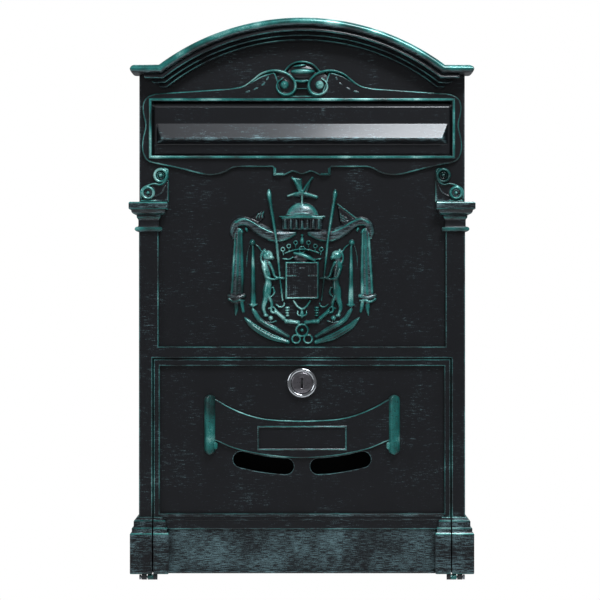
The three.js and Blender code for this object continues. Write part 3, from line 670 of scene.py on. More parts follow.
def roundedCorners(rows):
    # each corner of the closed outline becomes a quadratic curve between the points at its reach
    rows = np.asarray(rows, float)
    p, reach = rows[:, :2], rows[:, 2:]
    before, after = np.roll(p, 1, axis=0) - p, np.roll(p, -1, axis=0) - p
    lengthBefore = np.linalg.norm(before, axis=1, keepdims=True)
    lengthAfter = np.linalg.norm(after, axis=1, keepdims=True)
    start = p + before / lengthBefore * np.minimum(reach, lengthBefore * 0.48)
    stop = p + after / lengthAfter * np.minimum(reach, lengthAfter * 0.48)
    t = np.linspace(0, 1, 6)[None, :, None]
    curve = (1 - t) ** 2 * start[:, None] + 2 * t * (1 - t) * p[:, None] + t ** 2 * stop[:, None]
    return curve.reshape(-1, 2)


def buildCartouche():
    # a plate with rounded corners round the slot, the bead along the slot's edge, two ribbed tabs
    side = np.array(cartoucheSide)
    outline = np.vstack([(0, 91.8, 4), (-6.6, 94.9, 2), side, (-14, 150.5, 1), (14, 150.5, 1),
                         (side * (-1, 1, 1))[::-1], (6.6, 94.9, 2)])
    s = letterSlot
    slot = rect(-s["halfWidth"], s["halfWidth"], s["low"], s["high"])
    profile = [(0, -69.5, 0.1), (0, -71.4, 0.1), (0, -72.3, 0.5), (0.3, -72.8, 0.8), (0.75, -73, 0.72),
               (1.3, -73, 0.1)]
    addPiece("cartouchePlate", plateShape([roundedCorners(outline), slot], profile), "casing")
    bead = [(0, -69.5, 0.05), (0, -74.6, 0.1), (-0.3, -75.5, 0.6), (-0.8, -75.9, 0.95), (-1.35, -76, 1.0),
            (-1.9, -75.8, 0.9), (-2.35, -75.2, 0.5), (-2.5, -74.4, 0.2), (-2.5, -72.8, 0.1),
            (-2.5, -69.5, 0.05)]
    addPiece("slotBead", sweepShape(slot, bead, closed=True), "casing")
    rib = [(-0.9, -72.6, 0.2), (-0.9, -73.4, 0.5), (-0.4, -74, 0.85), (0.4, -74, 0.85), (0.9, -73.4, 0.5),
           (0.9, -72.6, 0.2)]
    addPiece("cartoucheTabRibs", bothSides(
        sweepShape([(-19.8, 97.4), (-20, 92.8)], rib, ends=0.8),
        sweepShape([(-19.4, 92.6), (-13.6, 92.6)], rib, ends=0.8)), "casing")


def buildVolutes():
    # one relief: a strap that runs into a spiral on each side, leaves under it, the hood between
    c = newCanvas(-52, 52, 149.2, 178, 0.32)
    blob(c, -12.6, 159.2, 8.6, 9.4, 2.0, 0.15, mirror=True, lift=1.0)
    strap = [(-50, 155.9, 1.0, 3.4), (-44.5, 156.6, 1.3, 3.8), (-40, 159.0, 1.5, 4.2),
             (-35.3, 162.6, 1.7, 4.5), (-29.4, 166.9, 1.9, 4.8), (-20.6, 168.9, 2.2, 5.0),
             (-11.7, 166.9, 2.3, 5.2), (-6.2, 162, 2.4, 5.4), (-4.9, 157, 2.6, 5.6),
             (-6.8, 152.6, 2.9, 5.8), (-11.7, 150.9, 3.0, 5.8), (-16.4, 152.6, 2.5, 5.4),
             (-18.6, 156.4, 1.9, 5.0), (-17.6, 160.4, 1.5, 4.6), (-14.4, 163.0, 1.2, 4.2)]
    stroke(c, strap, 0.85, mirror=True, perSpan=7)
    blob(c, -12.9, 158.3, 3.2, 3.2, 3.8, 0.9, mirror=True, lift=2.6)
    blob(c, -12.9, 158.3, 1.3, 1.3, 1.4, 0.4, mirror=True, lift=5.4)
    leaves = [(-40, 153.4, 14, 5.4), (-34, 155.6, 26, 5.2), (-28.6, 158.8, 40, 4.8),
              (-25.4, 163, 60, 3.8)]
    for x, z, lean, size in leaves:
        blob(c, x, z, size, 1.7, 2.4, 0.22, lean, mirror=True, lift=0.8)
    for x in (-38.5, -33, -27.5):
        stroke(c, [(x - 2.5, 151.6, 0.8, 2.6), (x, 153.2, 0.9, 3.2), (x + 3, 153.8, 0.7, 2.8)], 0.3,
               mirror=True)
    stroke(c, [(-12.8, 168.4, 1.6, 4), (-9, 172.6, 1.8, 5), (-4, 174.9, 1.8, 5.6), (2, 175.2, 1.8, 5.8),
               (8, 173.2, 1.8, 5.2), (12.8, 168.4, 1.6, 4.2)], 0.4)
    blob(c, 0, 168.2, 11, 6.2, 2.6, 0.1, lift=1.0)
    blob(c, 0.6, 168.2, 9.0, 2.1, 4.4, 0.8, lift=2.2)
    blob(c, -2, 172.4, 5.4, 1.0, 2.6, 0.45, 8, lift=2.6)
    stroke(c, [(-4.6, 161.4, 2.2, 4.2), (0, 160.9, 2.6, 5.0), (4.6, 161.4, 2.2, 4.2)], 0.6)
    stroke(c, [(-4.6, 155.6, 1.2, 3.6), (4.6, 155.6, 1.2, 3.6)], 0.3)
    addPiece("topVolutesAndHood", reliefShape(c, 70, 1.5, 0.3), "casing", sharp=180)


def buildBrackets():
    # one relief of two rolled scrolls on a small plate, and its mirror image
    c = newCanvas(-119.8, -96.5, 71.8, 101.5, 0.3)
    facet(c, [(-118.4, 72), (-98.3, 72), (-98.3, 86), (-101, 90.5), (-110, 86), (-118, 80)], 2.6, 0.12,
          0.5)
    for x, z, outer, boss in ((-104, 91.7, 4.4, 2.2), (-113.3, 78.8, 4.0, 2.0)):
        hoop(c, x, z, outer, 2.6, 2.6, 0.6, lift=2.6)
        hoop(c, x, z, boss + 0.2, 1.0, 1.4, 0.6, lift=3.0)
        blob(c, x, z, boss - 0.5, boss - 0.5, 2.2, 0.85, lift=3.4)
    stroke(c, [(-99.3, 93.4, 2.0, 4.6), (-99.4, 89.6, 2.2, 4.8), (-101.6, 86.2, 2.2, 5),
               (-104.6, 84.9, 2.0, 5), (-108.6, 85.6, 1.8, 4.8), (-113, 84.4, 1.9, 4.8),
               (-117.2, 82.2, 1.9, 4.6), (-118.8, 79, 1.6, 4.4), (-118.4, 74.6, 1.3, 4)], 0.7)
    stroke(c, [(-101.4, 96.9, 1.4, 3.6), (-99.0, 95.8, 1.6, 4.2), (-98.7, 93.2, 1.2, 4)], 0.65)
    stroke(c, [(-98.6, 72.4, 0.8, 3.2), (-98.6, 88, 0.8, 3.2)], 0.5)
    stroke(c, [(-118.2, 73, 2.0, 3.8), (-108.4, 73, 2.0, 3.8)], 0.45)
    stroke(c, [(-108.6, 76, 1.0, 3.4), (-103.4, 79, 1.1, 3.5), (-100.6, 84.2, 0.9, 3.4)], 0.3)
    addPiece("scrollBrackets", bothSides(reliefShape(c, 70, 1.5, 0.28)), "casing", sharp=180)


# crest: a coat of arms under a domed crown. Simplified, but close to the real object's own arms, so it is
# still to be replaced by a plain ornament.

def sink(canvas, x0, x1, z0, z1, height=-0.4, tint=0.0):
    # lowers what stands in a rectangle
    cols = slice(*np.searchsorted(canvas["xs"], (x0, x1)))
    rows = slice(*np.searchsorted(canvas["zs"], (z0, z1)))
    canvas["height"][rows, cols] = np.minimum(canvas["height"][rows, cols], height)
    canvas["tint"][rows, cols] = tint


def drawDrapes(c):
    # swags that hang from the crown, the long drapes at the sides and a narrow one inside each
    swag = [(-5.0, 49.4, 2.6, 2.4), (-13.2, 47.6, 8.4, 3.8), (-22, 47.6, 9.6, 4.4), (-30, 51.3, 9.0, 4.4),
            (-37.5, 56.2, 7.4, 4.0), (-43.6, 58.2, 6.6, 3.6), (-48.8, 55.8, 6.0, 3.2),
            (-51.2, 50.4, 4.4, 2.6), (-50.6, 46.4, 2.6, 2.0)]
    stroke(c, swag, 0.3, 0.5, mirror=True)
    stroke(c, [(x, z - 0.38 * w, 1.7, h * 0.55) for x, z, w, h in swag], 0.75, mirror=True, lift=0.6)
    # a raised ridge along the upper part of each swag, tinted high: brushed patina on the ridge and a
    # painted highlight along the swag's top
    stroke(c, [(x, z + 0.2 * w, 1.5, h * 0.4) for x, z, w, h in swag[2:7]], 0.7, mirror=True, lift=2.6)
    stroke(c, [(-46.8, 50.5, 6.2, 2.6), (-47.3, 27, 8.8, 3.0), (-48, 4.0, 10.2, 3.2)], 0.6, 0.35,
           folds=0.06, pleats=2.6, mirror=True)
    stroke(c, [(-49.2, 49, 0.7, 2.9), (-50.4, 27, 0.9, 3.3), (-51.8, 5, 1.1, 3.4)], 0.85, mirror=True)
    stroke(c, [(-53.4, 3.0, 3.6, 2.6), (-48, 1.6, 4.0, 3.8), (-42.8, 3.0, 3.4, 2.8)], 0.35, mirror=True)
    stroke(c, [(-54, 0.8, 2.0, 2.6), (-50.4, -1.2, 2.4, 3.4), (-46.6, -0.2, 2.2, 3.6),
               (-43, -0.4, 1.6, 2.6)], 0.8, mirror=True)
    stroke(c, [(-48.4, -1, 4.6, 2.6), (-48.4, -7, 3.2, 2.2), (-49, -11.2, 1.0, 1.4)], 0.5, 0.4,
           mirror=True)
    stroke(c, [(-44.8, -1, 3.6, 2.6), (-43.4, -8.4, 2.2, 1.8)], 0.7, 0.4, mirror=True)
    for x, z in ((-44.4, 50.4), (-41, 52)):
        blob(c, x, z, 1.1, 1.8, 3.2, 0.7, 20, mirror=True)
    blob(c, -36.6, 42.3, 2.2, 2.4, 3.8, 0.8, mirror=True)
    stroke(c, [(-36.3, 39.4, 2.0, 2.2), (-36.1, 20, 3.0, 2.6), (-35.9, -3.0, 4.4, 3.0)], 0.66, 0.4,
           mirror=True)
    stroke(c, [(-38.2, -3.4, 1.6, 2.6), (-35.8, -4.4, 2.0, 3.2), (-33.4, -3.4, 1.6, 2.6)], 0.45,
           mirror=True)
    stroke(c, [(-34.4, 41, 1.0, 1.6), (-31.4, 38.4, 1.1, 1.8), (-29.6, 35, 1.0, 1.6)], 0.7, mirror=True)
    stroke(c, [(-38.4, 41, 0.7, 1.2), (-40.4, 33, 0.8, 1.2), (-40.8, 24.6, 0.6, 1.0)], 0.5, mirror=True)


def drawLances(c):
    # two lances that lean inwards, each with a pennant of slanting lines
    stroke(c, [(-24.4, 80.8, 2.0, 2.2), (-24.3, 78, 3.8, 3.4), (-23.7, 73.4, 3.0, 3.8),
               (-22.8, 67, 2.6, 3.8)], 0.6, mirror=True)
    stroke(c, [(-23.2, 71, 2.6, 3.8), (-21.2, 58, 2.6, 5.0), (-18.9, 43.3, 2.3, 5.4),
               (-16.5, 18.7, 1.5, 3.8), (-14.3, -0.4, 1.2, 2.6)], 0.68, mirror=True)
    left = [(-39.6, 59.7), (-29.9, 66), (-27.2, 61), (-34.9, 52.5)]
    right = [(25.8, 70.6), (41.5, 58.4), (32.6, 53.4), (27.5, 57.6)]
    for outline in (left, right):
        facet(c, outline, 1.9, 0.12, 0.7)
    for k in range(3):
        stroke(c, [(-33.6 + 2 * k, 60.2 + 0.3 * k, 0.9, 2.8),
                   (-32.2 + 1.9 * k, 63.6 + 0.7 * k, 0.9, 2.8)], 0.85)
    stroke(c, [(-39.8, 59.4, 1.2, 3.0), (-31.6, 55.0, 1.2, 3.2)], 0.85)
    stroke(c, [(25.8, 70.8, 1.1, 3.0), (33.6, 65, 1.2, 3.2), (41.8, 58.6, 1.2, 3.0)], 0.85)
    for k in range(3):
        stroke(c, [(28.4 + 2.0 * k, 64 - 1.6 * k, 0.7, 2.6), (28.6 + 2.0 * k, 60.2 - 1.4 * k, 0.7, 2.6)],
               0.75)
        stroke(c, [(28 + 0.4 * k, 62.6 - 1.8 * k, 0.7, 2.6), (33.4 + 0.4 * k, 59.6 - 1.8 * k, 0.7, 2.6)],
               0.75)


def drawSupporters(c):
    # a standing animal on each side: body, head, mane, forelegs, hind leg and tail
    stroke(c, [(-26.4, 30.5, 5.0, 3.4), (-26.6, 24.6, 7.0, 4.2), (-25.2, 18, 5.8, 3.8),
               (-24.8, 13, 5.4, 3.6), (-25.6, 7, 7.0, 4.2), (-26.4, 1.4, 5.4, 3.6),
               (-28.4, -5.4, 3.4, 3.0), (-27, -10.8, 2.4, 2.6)], 0.58, 0.5, mirror=True)
    blob(c, -25.6, 32.6, 4.4, 4.2, 4.8, 0.6, mirror=True)
    blob(c, -22.4, 31.2, 2.0, 1.7, 4.8, 0.8, -12, mirror=True)
    blob(c, -27.6, 36.4, 1.2, 1.5, 3.6, 0.8, 20, mirror=True)
    blob(c, -24.2, 33.8, 0.7, 0.6, 0.8, 0.05, mirror=True, lift=4.2)
    stroke(c, [(-28.8, 36, 1.6, 3.4), (-30.2, 32.6, 1.8, 3.4), (-29.8, 28.6, 1.6, 3.4),
               (-28.2, 25.6, 1.4, 3.4)], 0.75, mirror=True)
    stroke(c, [(-24.2, 27.6, 2.6, 4.8), (-21.8, 22.4, 2.4, 4.8), (-19.8, 17.2, 2.0, 4.6),
               (-13.6, 15.9, 1.8, 4.4)], 0.8, mirror=True)
    stroke(c, [(-27.8, 22, 2.6, 5.0), (-26.2, 17, 2.6, 4.8), (-22, 15.4, 2.0, 4.6),
               (-18, 15.6, 1.7, 4.4)], 0.72, mirror=True)
    stroke(c, [(-24.6, 3, 3.2, 3.6), (-22.4, -2.6, 2.6, 3.4), (-22.6, -8.2, 2.0, 3.0),
               (-19.8, -9.6, 1.7, 2.8)], 0.7, mirror=True)
    stroke(c, [(-22.6, 2.6, 1.3, 2.4), (-20.4, 5.4, 1.5, 2.6), (-21.4, 9.4, 1.5, 2.6)], 0.8, mirror=True)
    blob(c, -26.6, -11.4, 2.0, 1.2, 3.0, 0.8, mirror=True)


def drawLower(c):
    # two folded garlands, short rolls and beads below the shield, and three rings under them
    stroke(c, [(-42.1, -13.3, 1.6, 2), (-39.2, -16, 3.6, 2.8), (-34.9, -20, 5, 3.2),
               (-23.2, -26.8, 5.4, 3.4), (-10.5, -31, 3.4, 2.8)], 0.6, 0.4, folds=0.16, pleats=2.4,
           mirror=True)
    stroke(c, [(-36.6, -5.6, 1.6, 1.8), (-35, -8.8, 3.4, 2.4), (-30.7, -15, 4, 2.8),
               (-20.6, -20.9, 4.2, 2.8), (-10.5, -26.8, 3.0, 2.4)], 0.45, 0.4, folds=0.16, pleats=2,
           mirror=True)
    for x0, z0, x1, z1 in ((-19.4, -8.4, -13.6, -13.4), (-9.0, -15.8, -3.0, -16.6)):
        stroke(c, [(x0, z0, 3.0, 4.2), (x1, z1, 3.0, 4.2)], 0.7, mirror=True)
        for x, z in ((x0, z0), (x1, z1)):
            blob(c, x, z, 1.9, 1.9, 3.6, 0.5, mirror=True)
    for x, z in ((-23.1, -13.4), (-11.4, -15.6)):
        blob(c, x, z, 1.9, 1.9, 3.8, 0.75, mirror=True)
    stroke(c, [(-24.6, -6.2, 1.4, 2.8), (-21.4, -5.2, 1.5, 3.2), (-19.2, -7.2, 1.4, 3.0)], 0.75,
           mirror=True)
    stroke(c, [(-26, -15.8, 1.2, 2.4), (-22.6, -16.6, 1.4, 2.6), (-18.8, -15.4, 1.2, 2.4)], 0.3,
           mirror=True)
    stroke(c, [(-19, -3.4, 1.2, 2.6), (-16.4, -5.2, 1.3, 3), (-13.6, -4.4, 1.2, 2.8),
               (-13, -2.2, 1.0, 2.6)], 0.7, mirror=True)
    for k in range(4):
        blob(c, -10.8, -5.7 - 1.9 * k, 2.0 - 0.2 * k, 0.85, 3, 0.8, mirror=True)
    hoop(c, 0, -22.3, 4.3, 1.7, 3.2, 0.95)
    hoop(c, -4.4, -28.8, 3.0, 1.5, 3.0, 0.9, mirror=True)
    blob(c, 0, -22.3, 1.5, 1.5, 2.8, 0.9)
    stroke(c, [(-6.2, -0.3, 1.3, 3.2), (-3.4, -4.6, 1.6, 3.4), (0, -6.6, 1.8, 3.6), (3.4, -4.6, 1.6, 3.4),
               (6.2, -0.3, 1.3, 3.2)], 0.9)
    blob(c, 0, -10.2, 1.5, 3.4, 3.4, 0.95)
    stroke(c, [(-0.6, -12, 1.0, 3), (-3, -10.6, 1.3, 3), (-3.2, -8, 0.9, 2.4)], 0.9, mirror=True)


def drawShield(c):
    # a raised border round a sunk field, with a plain cross left between four lined quarters
    facet(c, [(-12.6, 28.4), (-12.6, 0.6), (12.6, 0.6), (12.6, 28.4)], 4.6, 0.62, 0.6)
    sink(c, -11.3, 11.3, 1.9, 27.1, 2.6, 0.15)
    facet(c, [(-11.3, 27.1), (-11.3, 1.9), (11.3, 1.9), (11.3, 27.1)], 3.1, 0.16, 0.5)
    for x in np.arange(3.6, 11, 1.4):
        for low, high in ((3.2, 10.4), (19.2, 26)):
            stroke(c, [(x, low, 0.75, 3.6), (x, high, 0.75, 3.6)], 0.32, mirror=True)
    for x in np.linspace(4.6, 10.6, 6):
        blob(c, x, 17.9, 0.6, 0.6, 4.1, 0.9, mirror=True)
    stroke(c, [(-2, 23.6, 0.8, 3.7), (2, 23.6, 0.8, 3.7)], 0.4)


def drawHelmAndCrown(c):
    # from the shield up: helm, coronet, ribbed band, dome, and a star on top
    blob(c, 0.4, 31.2, 7.6, 4.2, 4.4, 0.2)
    # a raised cap across the helm, tinted high: brushed patina on its ridge and a painted highlight along
    # it
    stroke(c, [(-5.6, 34.6, 2.2, 4.8), (0.4, 33.2, 3.6, 6.0), (5.6, 30.8, 3.4, 6.0),
               (9.6, 28.8, 1.6, 4.6)], 0.8)
    stroke(c, [(-14.2, 30.4, 1.1, 2.8), (-9.4, 30.0, 1.3, 3.2), (-6.8, 31.6, 1.1, 3.2)], 0.6, mirror=True)
    stroke(c, [(-12.4, 34.6, 1.0, 2.8), (-6.4, 36.6, 1.2, 3.6), (0, 37.4, 1.4, 4), (6.4, 36.6, 1.2, 3.6),
               (12.4, 34.6, 1.0, 2.8)], 0.7)
    for x, z in ((-4.8, 42.2), (-9.8, 39.7), (-14.2, 37.3)):
        hoop(c, x, z, 1.35, 0.95, 3.4, 0.85, mirror=True)
        stroke(c, [(x * 0.96, z - 4.0, 0.8, 3), (x, z - 1.6, 0.8, 3.2)], 0.6, mirror=True)
    blob(c, 0, 43.6, 1.4, 3.0, 4.0, 0.85)
    blob(c, 0, 47.6, 0.9, 1.4, 3.6, 0.85)
    hoop(c, 0, 37.2, 2.2, 0.9, 4.4, 0.6)
    blob(c, 0.2, 60.2, 12.4, 12, 5.6, 0.5)
    sink(c, -13.5, 13.5, 48.5, 60.2)
    facet(c, [(-15, 51.6), (15, 51.6), (15, 60), (-15, 60)], 2.8, 0.3, 0.5,
          pattern=lambda x, z: 0.9 * np.cos(2 * math.pi * x / 4.1))
    stroke(c, [(-14.8, 60.2, 1.4, 4.0), (14.8, 60.2, 1.4, 4.0)], 0.6)
    stroke(c, [(-16.4, 61.4, 1.1, 4.6), (0, 61.0, 1.3, 5.2), (16.6, 61.4, 1.1, 4.6)], 0.85)
    stroke(c, [(-11.6, 62.8, 0.8, 3.2), (0, 63.6, 0.9, 6.1), (11.8, 62.8, 0.8, 3.2)], 0.7)
    stroke(c, [(0, 71.4, 1.8, 3.6), (0, 77, 1.4, 3.8)], 0.6)
    spikes(c, 0, 77.8, [(-11.4, 77.2, 6), (10.6, 76.4, 8), (0, 71.4, 5)], 3.2, 0.45)
    facet(c, [(-8.0, 90.6), (-0.2, 89.6), (0.8, 79.0), (-2.4, 78.6)], 3.8, 0.85, 0.4)
    stroke(c, [(-7.4, 90, 1.6, 4.4), (-3.4, 85, 2.0, 5.0), (0.2, 79.4, 2.2, 5.4)], 0.9)
    facet(c, [(8.0, 90.6), (1.6, 84.6), (-0.4, 79.0), (4.0, 78.6)], 3.0, 0.5, 0.4)
    stroke(c, [(7.6, 90, 1.9, 4.4), (4, 85.2, 2.1, 5.0), (0.4, 79.4, 2.2, 5.4)], 0.9)
    stroke(c, [(-10.4, 76.6, 1.5, 3.0), (-4.6, 78.6, 1.9, 3.6), (0, 79.0, 2.0, 4.6)], 0.7)
    stroke(c, [(10.8, 75.8, 2.4, 3.4), (5.2, 77.6, 2.6, 4.0), (0, 79.0, 2.2, 4.6)], 0.9)


def buildCrest():
    # all of the crest drawn on one canvas; where two parts meet the higher one stays
    c = newCanvas(-58, 58, -34.5, 92, 0.42)
    drawHelmAndCrown(c)
    drawDrapes(c)
    drawLances(c)
    drawSupporters(c)
    drawLower(c)
    drawShield(c)
    addPiece("crestRelief", reliefShape(c, 70, 1.5, 0.34), "casing", sharp=180)


# letter flap

flap = {"halfWidth": 109.5, "low": 107, "high": 143, "front": -72.4, "back": -70.4, "lipRise": 5.1,
        "slopeTop": 129.8, "lipTop": 118.8, "lipLow": 117.8, "foot": 114.7, "hip": 107.2, "hipSlope": 1.2}


def buildFlap():
    # a flat panel whose lip rises and falls in straight slopes, and the roll round its rod
    f = flap
    c = newCanvas(-f["halfWidth"], f["halfWidth"], f["low"], f["high"], 0.5)
    x, z = np.meshgrid(c["xs"], c["zs"])
    rise = np.interp(z, [f["foot"], f["lipLow"], f["lipTop"], f["slopeTop"]],
                     [0, f["lipRise"], f["lipRise"], 0])
    rise = np.clip(np.minimum(rise, (f["hip"] - np.abs(x)) * f["hipSlope"]), 0, None)
    c["height"][:] = rise
    c["tint"][:] = np.where(rise > 0.05, 0.16, 0.12)
    c["tint"][np.abs(z - 118.9) < 0.4] = 0.3
    addPiece("flapPanel", reliefShape(c, -f["front"], f["back"] - f["front"], 0.3), "flap",
             replaces=("letter_flap",), sharp=180)
    circle = [(2.3 * math.sin(a), -70.2 + 2.3 * math.cos(a), 0.1)
              for a in np.linspace(0, 2 * math.pi, 24, False)]
    addPiece("flapRoll", sweepShape([(-f["halfWidth"], 143.6), (f["halfWidth"], 143.6)], circle), "flap")


# mail door

door = {"halfWidth": 109.1, "top": -43.7, "bandTop": -157, "bandLow": -168.6, "front": -74,
        "rimHalf": 104.7, "rimTop": -48.5, "panelFront": -70.5, "baseHalf": 98.5, "baseFront": -72}
banner = {
    "top": [(-66.3, -72), (-61.8, -73.9), (-55, -77.9), (-43.7, -83), (-32.5, -86.4), (-21.2, -88),
            (0, -88.8)],
    "low": [(66, -103), (61.8, -104.3), (50.5, -109.1), (38.1, -112.2), (21.2, -115), (0, -116.4)],
    "windowHalf": 31.5, "windowLow": -109.2, "windowTop": -94, "rollX": 67.8, "rollRadius": 4.2}
viewSlot = {"line": [(-44.8, -117.6), (-33, -120.2), (-21.5, -121.9), (-12, -122.6)], "half": 5.9}
lock = {"z": -61, "barrel": 9.2, "plugFace": 7.7, "plug": 6}


def slotOutline(line, half):
    # a band of even width along a line, with round ends
    path = smoothLine(line, 5)
    normals = mitredNormals(path, False)
    first = math.degrees(math.atan2(normals[0][1], normals[0][0]))
    last = math.degrees(math.atan2(normals[-1][1], normals[-1][0]))
    head = arcPoints(*path[-1], half, last, last - 180, 13)[1:-1]
    tail = arcPoints(*path[0], half, first - 180, first - 360, 13)[1:-1]
    return np.vstack([path + normals * half, head, (path - normals * half)[::-1], tail])


def buildDoor(knuckle):
    # panel and rim, the band and base below, inner plinths and the hinge knuckles
    d = door
    left = slotOutline(viewSlot["line"], viewSlot["half"])
    slots = [left, left * (-1, 1)]
    hole = arcPoints(0, lock["z"], lock["barrel"] + 0.3, 0, 360, 49)[:-1]
    addPiece("doorPanel", plateShape(
        [rect(-108.1, 108.1, d["bandLow"], d["top"] - 1), *slots, hole],
        wornEdge(-67.5, d["panelFront"], 0.45, 0.12, 0.62)), "door", replaces=("mail_door",))
    addPiece("doorRim", plateShape(
        [rect(-d["halfWidth"], d["halfWidth"], d["bandLow"], d["top"]),
         rect(-d["rimHalf"], d["rimHalf"], d["bandTop"], d["rimTop"])],
        wornEdge(-66.3, d["front"], 0.55, 0.14, 0.72)), "door")
    upper = plateShape([rect(-104, 104, -159.1, -157.5, 0.7)], wornEdge(-73.8, -74.7, 0.3, 0.3, 0.5, 0.2))
    lower = plateShape([rect(-103, 103, -162.1, -161.1, 0.4)],
                       wornEdge(-73.8, -74.5, 0.2, 0.2, 0.35, 0.1))
    addPiece("doorBandBeads", joinShapes(upper, lower), "door")
    base = rect(-d["baseHalf"], d["baseHalf"], casing["bottom"], d["bandLow"] + 0.2)
    addPiece("basePanel", plateShape([base], wornEdge(-67.5, d["baseFront"], 0.4, 0.43, 0.5)), "door")
    addPiece("baseLip", plateShape([rect(-98.5, 98.5, -201, -199.3, 0.5)],
                                   wornEdge(-67.6, -74.5, 0.4, 0.3, 0.5)), "door")
    innerPath = [(-d["halfWidth"], d["front"]), (-104, d["front"]), (-104, -69)]
    inner = [(4.9 if offset > 2 else offset, z, level) for offset, z, level in plinthProfile]
    addPiece("doorPlinths", bothSides(sweepShape(innerPath, inner, plane=(0, 1))), "door")
    pinRound = [(2 * math.sin(a), -77 + 2 * math.cos(a), 0.8)
                for a in np.linspace(0, 2 * math.pi, 24, False)]
    addPiece("doorKnuckles", bothSides(
        sweepShape([(-113.3, -203.3), (-109, -203.3)], pinRound),
        sweepShape([(-109.05, -203.3), (-106.2, -203.3)], knuckle)), "door")


def buildBanner():
    # a plate between two curves with a window, the name field behind it and a roll at each end
    b = banner
    w = b["windowHalf"]
    lines = [line + [(-x, z) for x, z in line[-2::-1]] for line in (b["top"], b["low"])]
    outline = np.vstack([smoothLine(line, 4) for line in lines])
    window = rect(-w - 0.6, w + 0.6, b["windowLow"] - 0.6, b["windowTop"] + 0.6)
    profile = [(0, -70.2, 0.1), (0, -71.6, 0.1), (0, -72.9, 0.3), (0.2, -73.4, 0.85), (0.6, -73.6, 0.85),
               (1.0, -73.6, 0.13)]
    addPiece("bannerPlate", plateShape([outline, window], profile), "door")
    addPiece("nameField", plateShape([rect(-w - 1, w + 1, b["windowLow"] - 1, b["windowTop"] + 1)],
                                     [(0, -70.3, 0.05), (0, -72.4, 0.08)]), "door")
    frameRing = rect(-w - 0.75, w + 0.75, b["windowLow"] - 0.75, b["windowTop"] + 0.75)
    section = [(-0.75, -73, 0.1), (-0.75, -73.8, 0.2), (-0.35, -74.2, 0.65), (0.1, -74.3, 0.7),
               (0.75, -73.9, 0.2), (0.75, -72.2, 0.2), (0, -72.2, 0.1)]
    addPiece("nameBorder", sweepShape(frameRing, section, closed=True), "door")
    r = b["rollRadius"]
    ring = [(r * math.sin(a), -71.9 + r * math.cos(a), 0.75)
            for a in np.linspace(0, 2 * math.pi, 28, False)]
    curl = [(1.5 * math.sin(a), -73.6 + 1.5 * math.cos(a), 0.9)
            for a in np.linspace(0, 2 * math.pi, 16, False)]
    addPiece("bannerRolls", bothSides(
        sweepShape([(-b["rollX"], -113.6), (-b["rollX"], -69.9)], ring, ends=3.4),
        sweepShape([(-63.6, -109.8), (-63.6, -104.6)], curl, ends=1.2)), "door")


# lock

def buildLock():
    # the barrel's face turned about its axis; the plug from four plates, two of them with a keyway
    z = lock["z"]
    barrel = [(6.1, -55.5), (9.2, -55.5), (9.2, -70.8), (10.8, -70.8), (11, -71.1), (11, -72.9),
              (10.8, -73.5), (10.3, -73.9), (9.7, -74), (9.0, -73.95), (8.4, -73.6), (8.0, -72.8),
              (7.9, -71.2), (6.1, -71.2)]
    addPiece("lockBarrelFace", turnedShape([(r, y, 0) for r, y in barrel], 0, z, 96, closed=True), "door",
             "polishedChrome", ("lock_barrel",))
    keyway = rect(-0.8, 0.8, z - 3.9, z + 3.9, 0.3, 3)
    face = arcPoints(0, z, lock["plugFace"], 0, 360, 73)[:-1]
    shank = arcPoints(0, z, lock["plug"], 0, 360, 49)[:-1]
    end = rect(-3.1, 3.1, z - 3.1, z + 3.1, 0.4, 3)
    disc = plateShape([face, keyway], [(0, -71.5, 0), (0, -73, 0), (0.2, -73.3, 0), (0.5, -73.4, 0)])
    core = plateShape([shank, keyway], [(0, -60, 0), (0, -71.6, 0)])
    closedCore = plateShape([shank], [(0, -55.2, 0), (0, -60.1, 0)])
    square = plateShape([end], [(0, -53.2, 0), (0, -55.4, 0)])
    addPiece("lockPlugFace", joinShapes(disc, core, closedCore, square), "plug", "satinNickelPlug",
             ("lock_plug",))


nodeMaterials = {"back_plate": "blackSheetAndInnerShade", "flap_rod": "drawnSteelRod",
                 "door_pin_left": "drawnSteelRod", "door_pin_right": "drawnSteelRod"}


def dressNodes():
    # the CAD nodes that stay in sight keep their shape and get a plated or drawn metal
    for name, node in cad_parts.items():
        node.data.materials.clear()
        node.data.materials.append(materials[nodeMaterials.get(name, "zincPlatedSteel")])


dressNodes()
buildShell()
buildLedges()
buildCornice()
print("shell and cornice made")
knuckle = buildColumns()
buildCartouche()
buildVolutes()
buildBrackets()
print("columns and cartouche made")
buildCrest()
print("crest made")
buildFlap()
buildDoor(knuckle)
buildBanner()
buildLock()
print("flap, door and lock made")


# stage: pale floor, soft light, camera

studio = {"floorZ": -0.46, "floorRadius": 1.4, "cameraX": -0.0015, "cameraY": -1.675, "lens": 130.6,
          "surround": 0.16, "surroundColour": (0.92, 0.96, 1, 1), "lightColour": (0.9, 0.95, 1.0),
          "floorTones": ("#dededd", "#e9e9e8")}
lights = {  # place, target, width and height in metres, power in watts
    "keyLight": ((0.42, -1.1, 1.3), (0, -0.05, 0.02), 0.7, 0.5, 30),
    "fillLight": ((-1.4, -1.1, 0.5), (0, -0.05, 0), 0.8, 0.8, 8),
    "rimLight": ((0.2, 1.2, 1.1), (0, 0, 0), 1.2, 0.8, 10)}


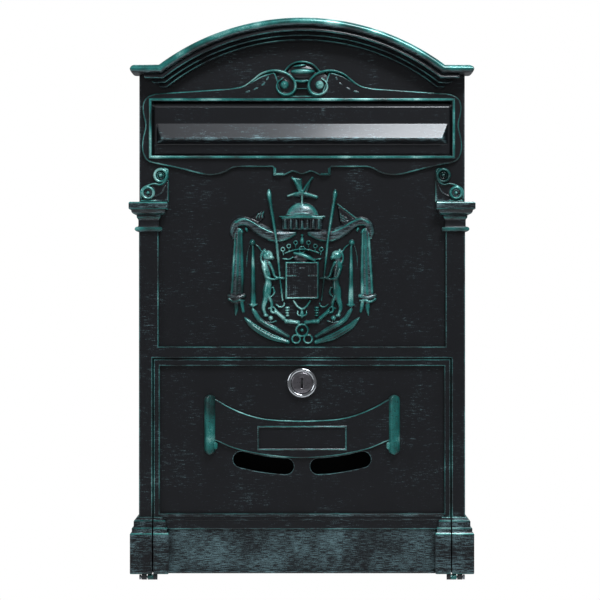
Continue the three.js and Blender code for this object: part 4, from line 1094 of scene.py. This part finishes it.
def palePaint():
    # matt wall paint in two close pale tones, for the floor
    material, tree, shader = newMaterial("paleFloorPaint")
    low, high = (hexColour(code) for code in studio["floorTones"])
    patch = stretchedNoise(tree, (90, 90, 90))
    tones = addNode(tree, "ShaderNodeMix", {0: patch, 6: low, 7: high}, data_type="RGBA")
    tree.links.new(tones.outputs[2], shader.inputs["Base Color"])
    shader.inputs["Roughness"].default_value = 0.7
    return material


def areaLight(name, place, target, width, height, power):
    # a rectangular lamp that points its own -Z at the target
    light = bpy.data.lights.new(name, "AREA")
    light.shape = "RECTANGLE"
    light.color = studio["lightColour"]
    light.size, light.size_y, light.energy = width, height, power
    lamp = bpy.data.objects.new(name, light)
    lamp.location = place
    lamp.rotation_euler = (Vector(target) - Vector(place)).to_track_quat("-Z", "Y").to_euler()
    bpy.context.scene.collection.objects.link(lamp)


def buildStage():
    # a round floor, three lamps, a surround the camera sees as white, and the camera
    mesh = bpy.data.meshes.new("floor")
    rim = arcPoints(0, 0, studio["floorRadius"], 0, 360, 97)[:-1]
    mesh.from_pydata([(x, y, studio["floorZ"]) for x, y in rim], [], [list(range(len(rim)))])
    mesh.materials.append(palePaint())
    floor = bpy.data.objects.new("floor", mesh)
    bpy.context.scene.collection.objects.link(floor)
    for name, settings in lights.items():
        areaLight(name, *settings)
    world = bpy.context.scene.world or bpy.data.worlds.new("surround")
    bpy.context.scene.world = world
    world.use_nodes = True
    tree = world.node_tree
    tree.nodes.clear()
    seen = addNode(tree, "ShaderNodeLightPath").outputs["Is Camera Ray"]
    white = addNode(tree, "ShaderNodeBackground", {"Color": (1, 1, 1, 1), "Strength": 1.0})
    dim = addNode(tree, "ShaderNodeBackground", {
        "Color": studio["surroundColour"], "Strength": studio["surround"]})
    mix = addNode(tree, "ShaderNodeMixShader", {0: seen, 1: dim.outputs[0], 2: white.outputs[0]})
    addNode(tree, "ShaderNodeOutputWorld", {"Surface": mix.outputs[0]})
    camera = bpy.data.objects.new("camera", bpy.data.cameras.new("camera"))
    camera.location = (studio["cameraX"], studio["cameraY"], 0)
    camera.rotation_euler = (math.pi / 2, 0, 0)
    camera.data.lens, camera.data.sensor_width = studio["lens"], 36
    camera.data.clip_end = 20
    bpy.context.scene.collection.objects.link(camera)
    bpy.context.scene.camera = camera


buildStage()
bpy.context.scene.view_settings.view_transform = "Standard"  # so that the backdrop stays plain white
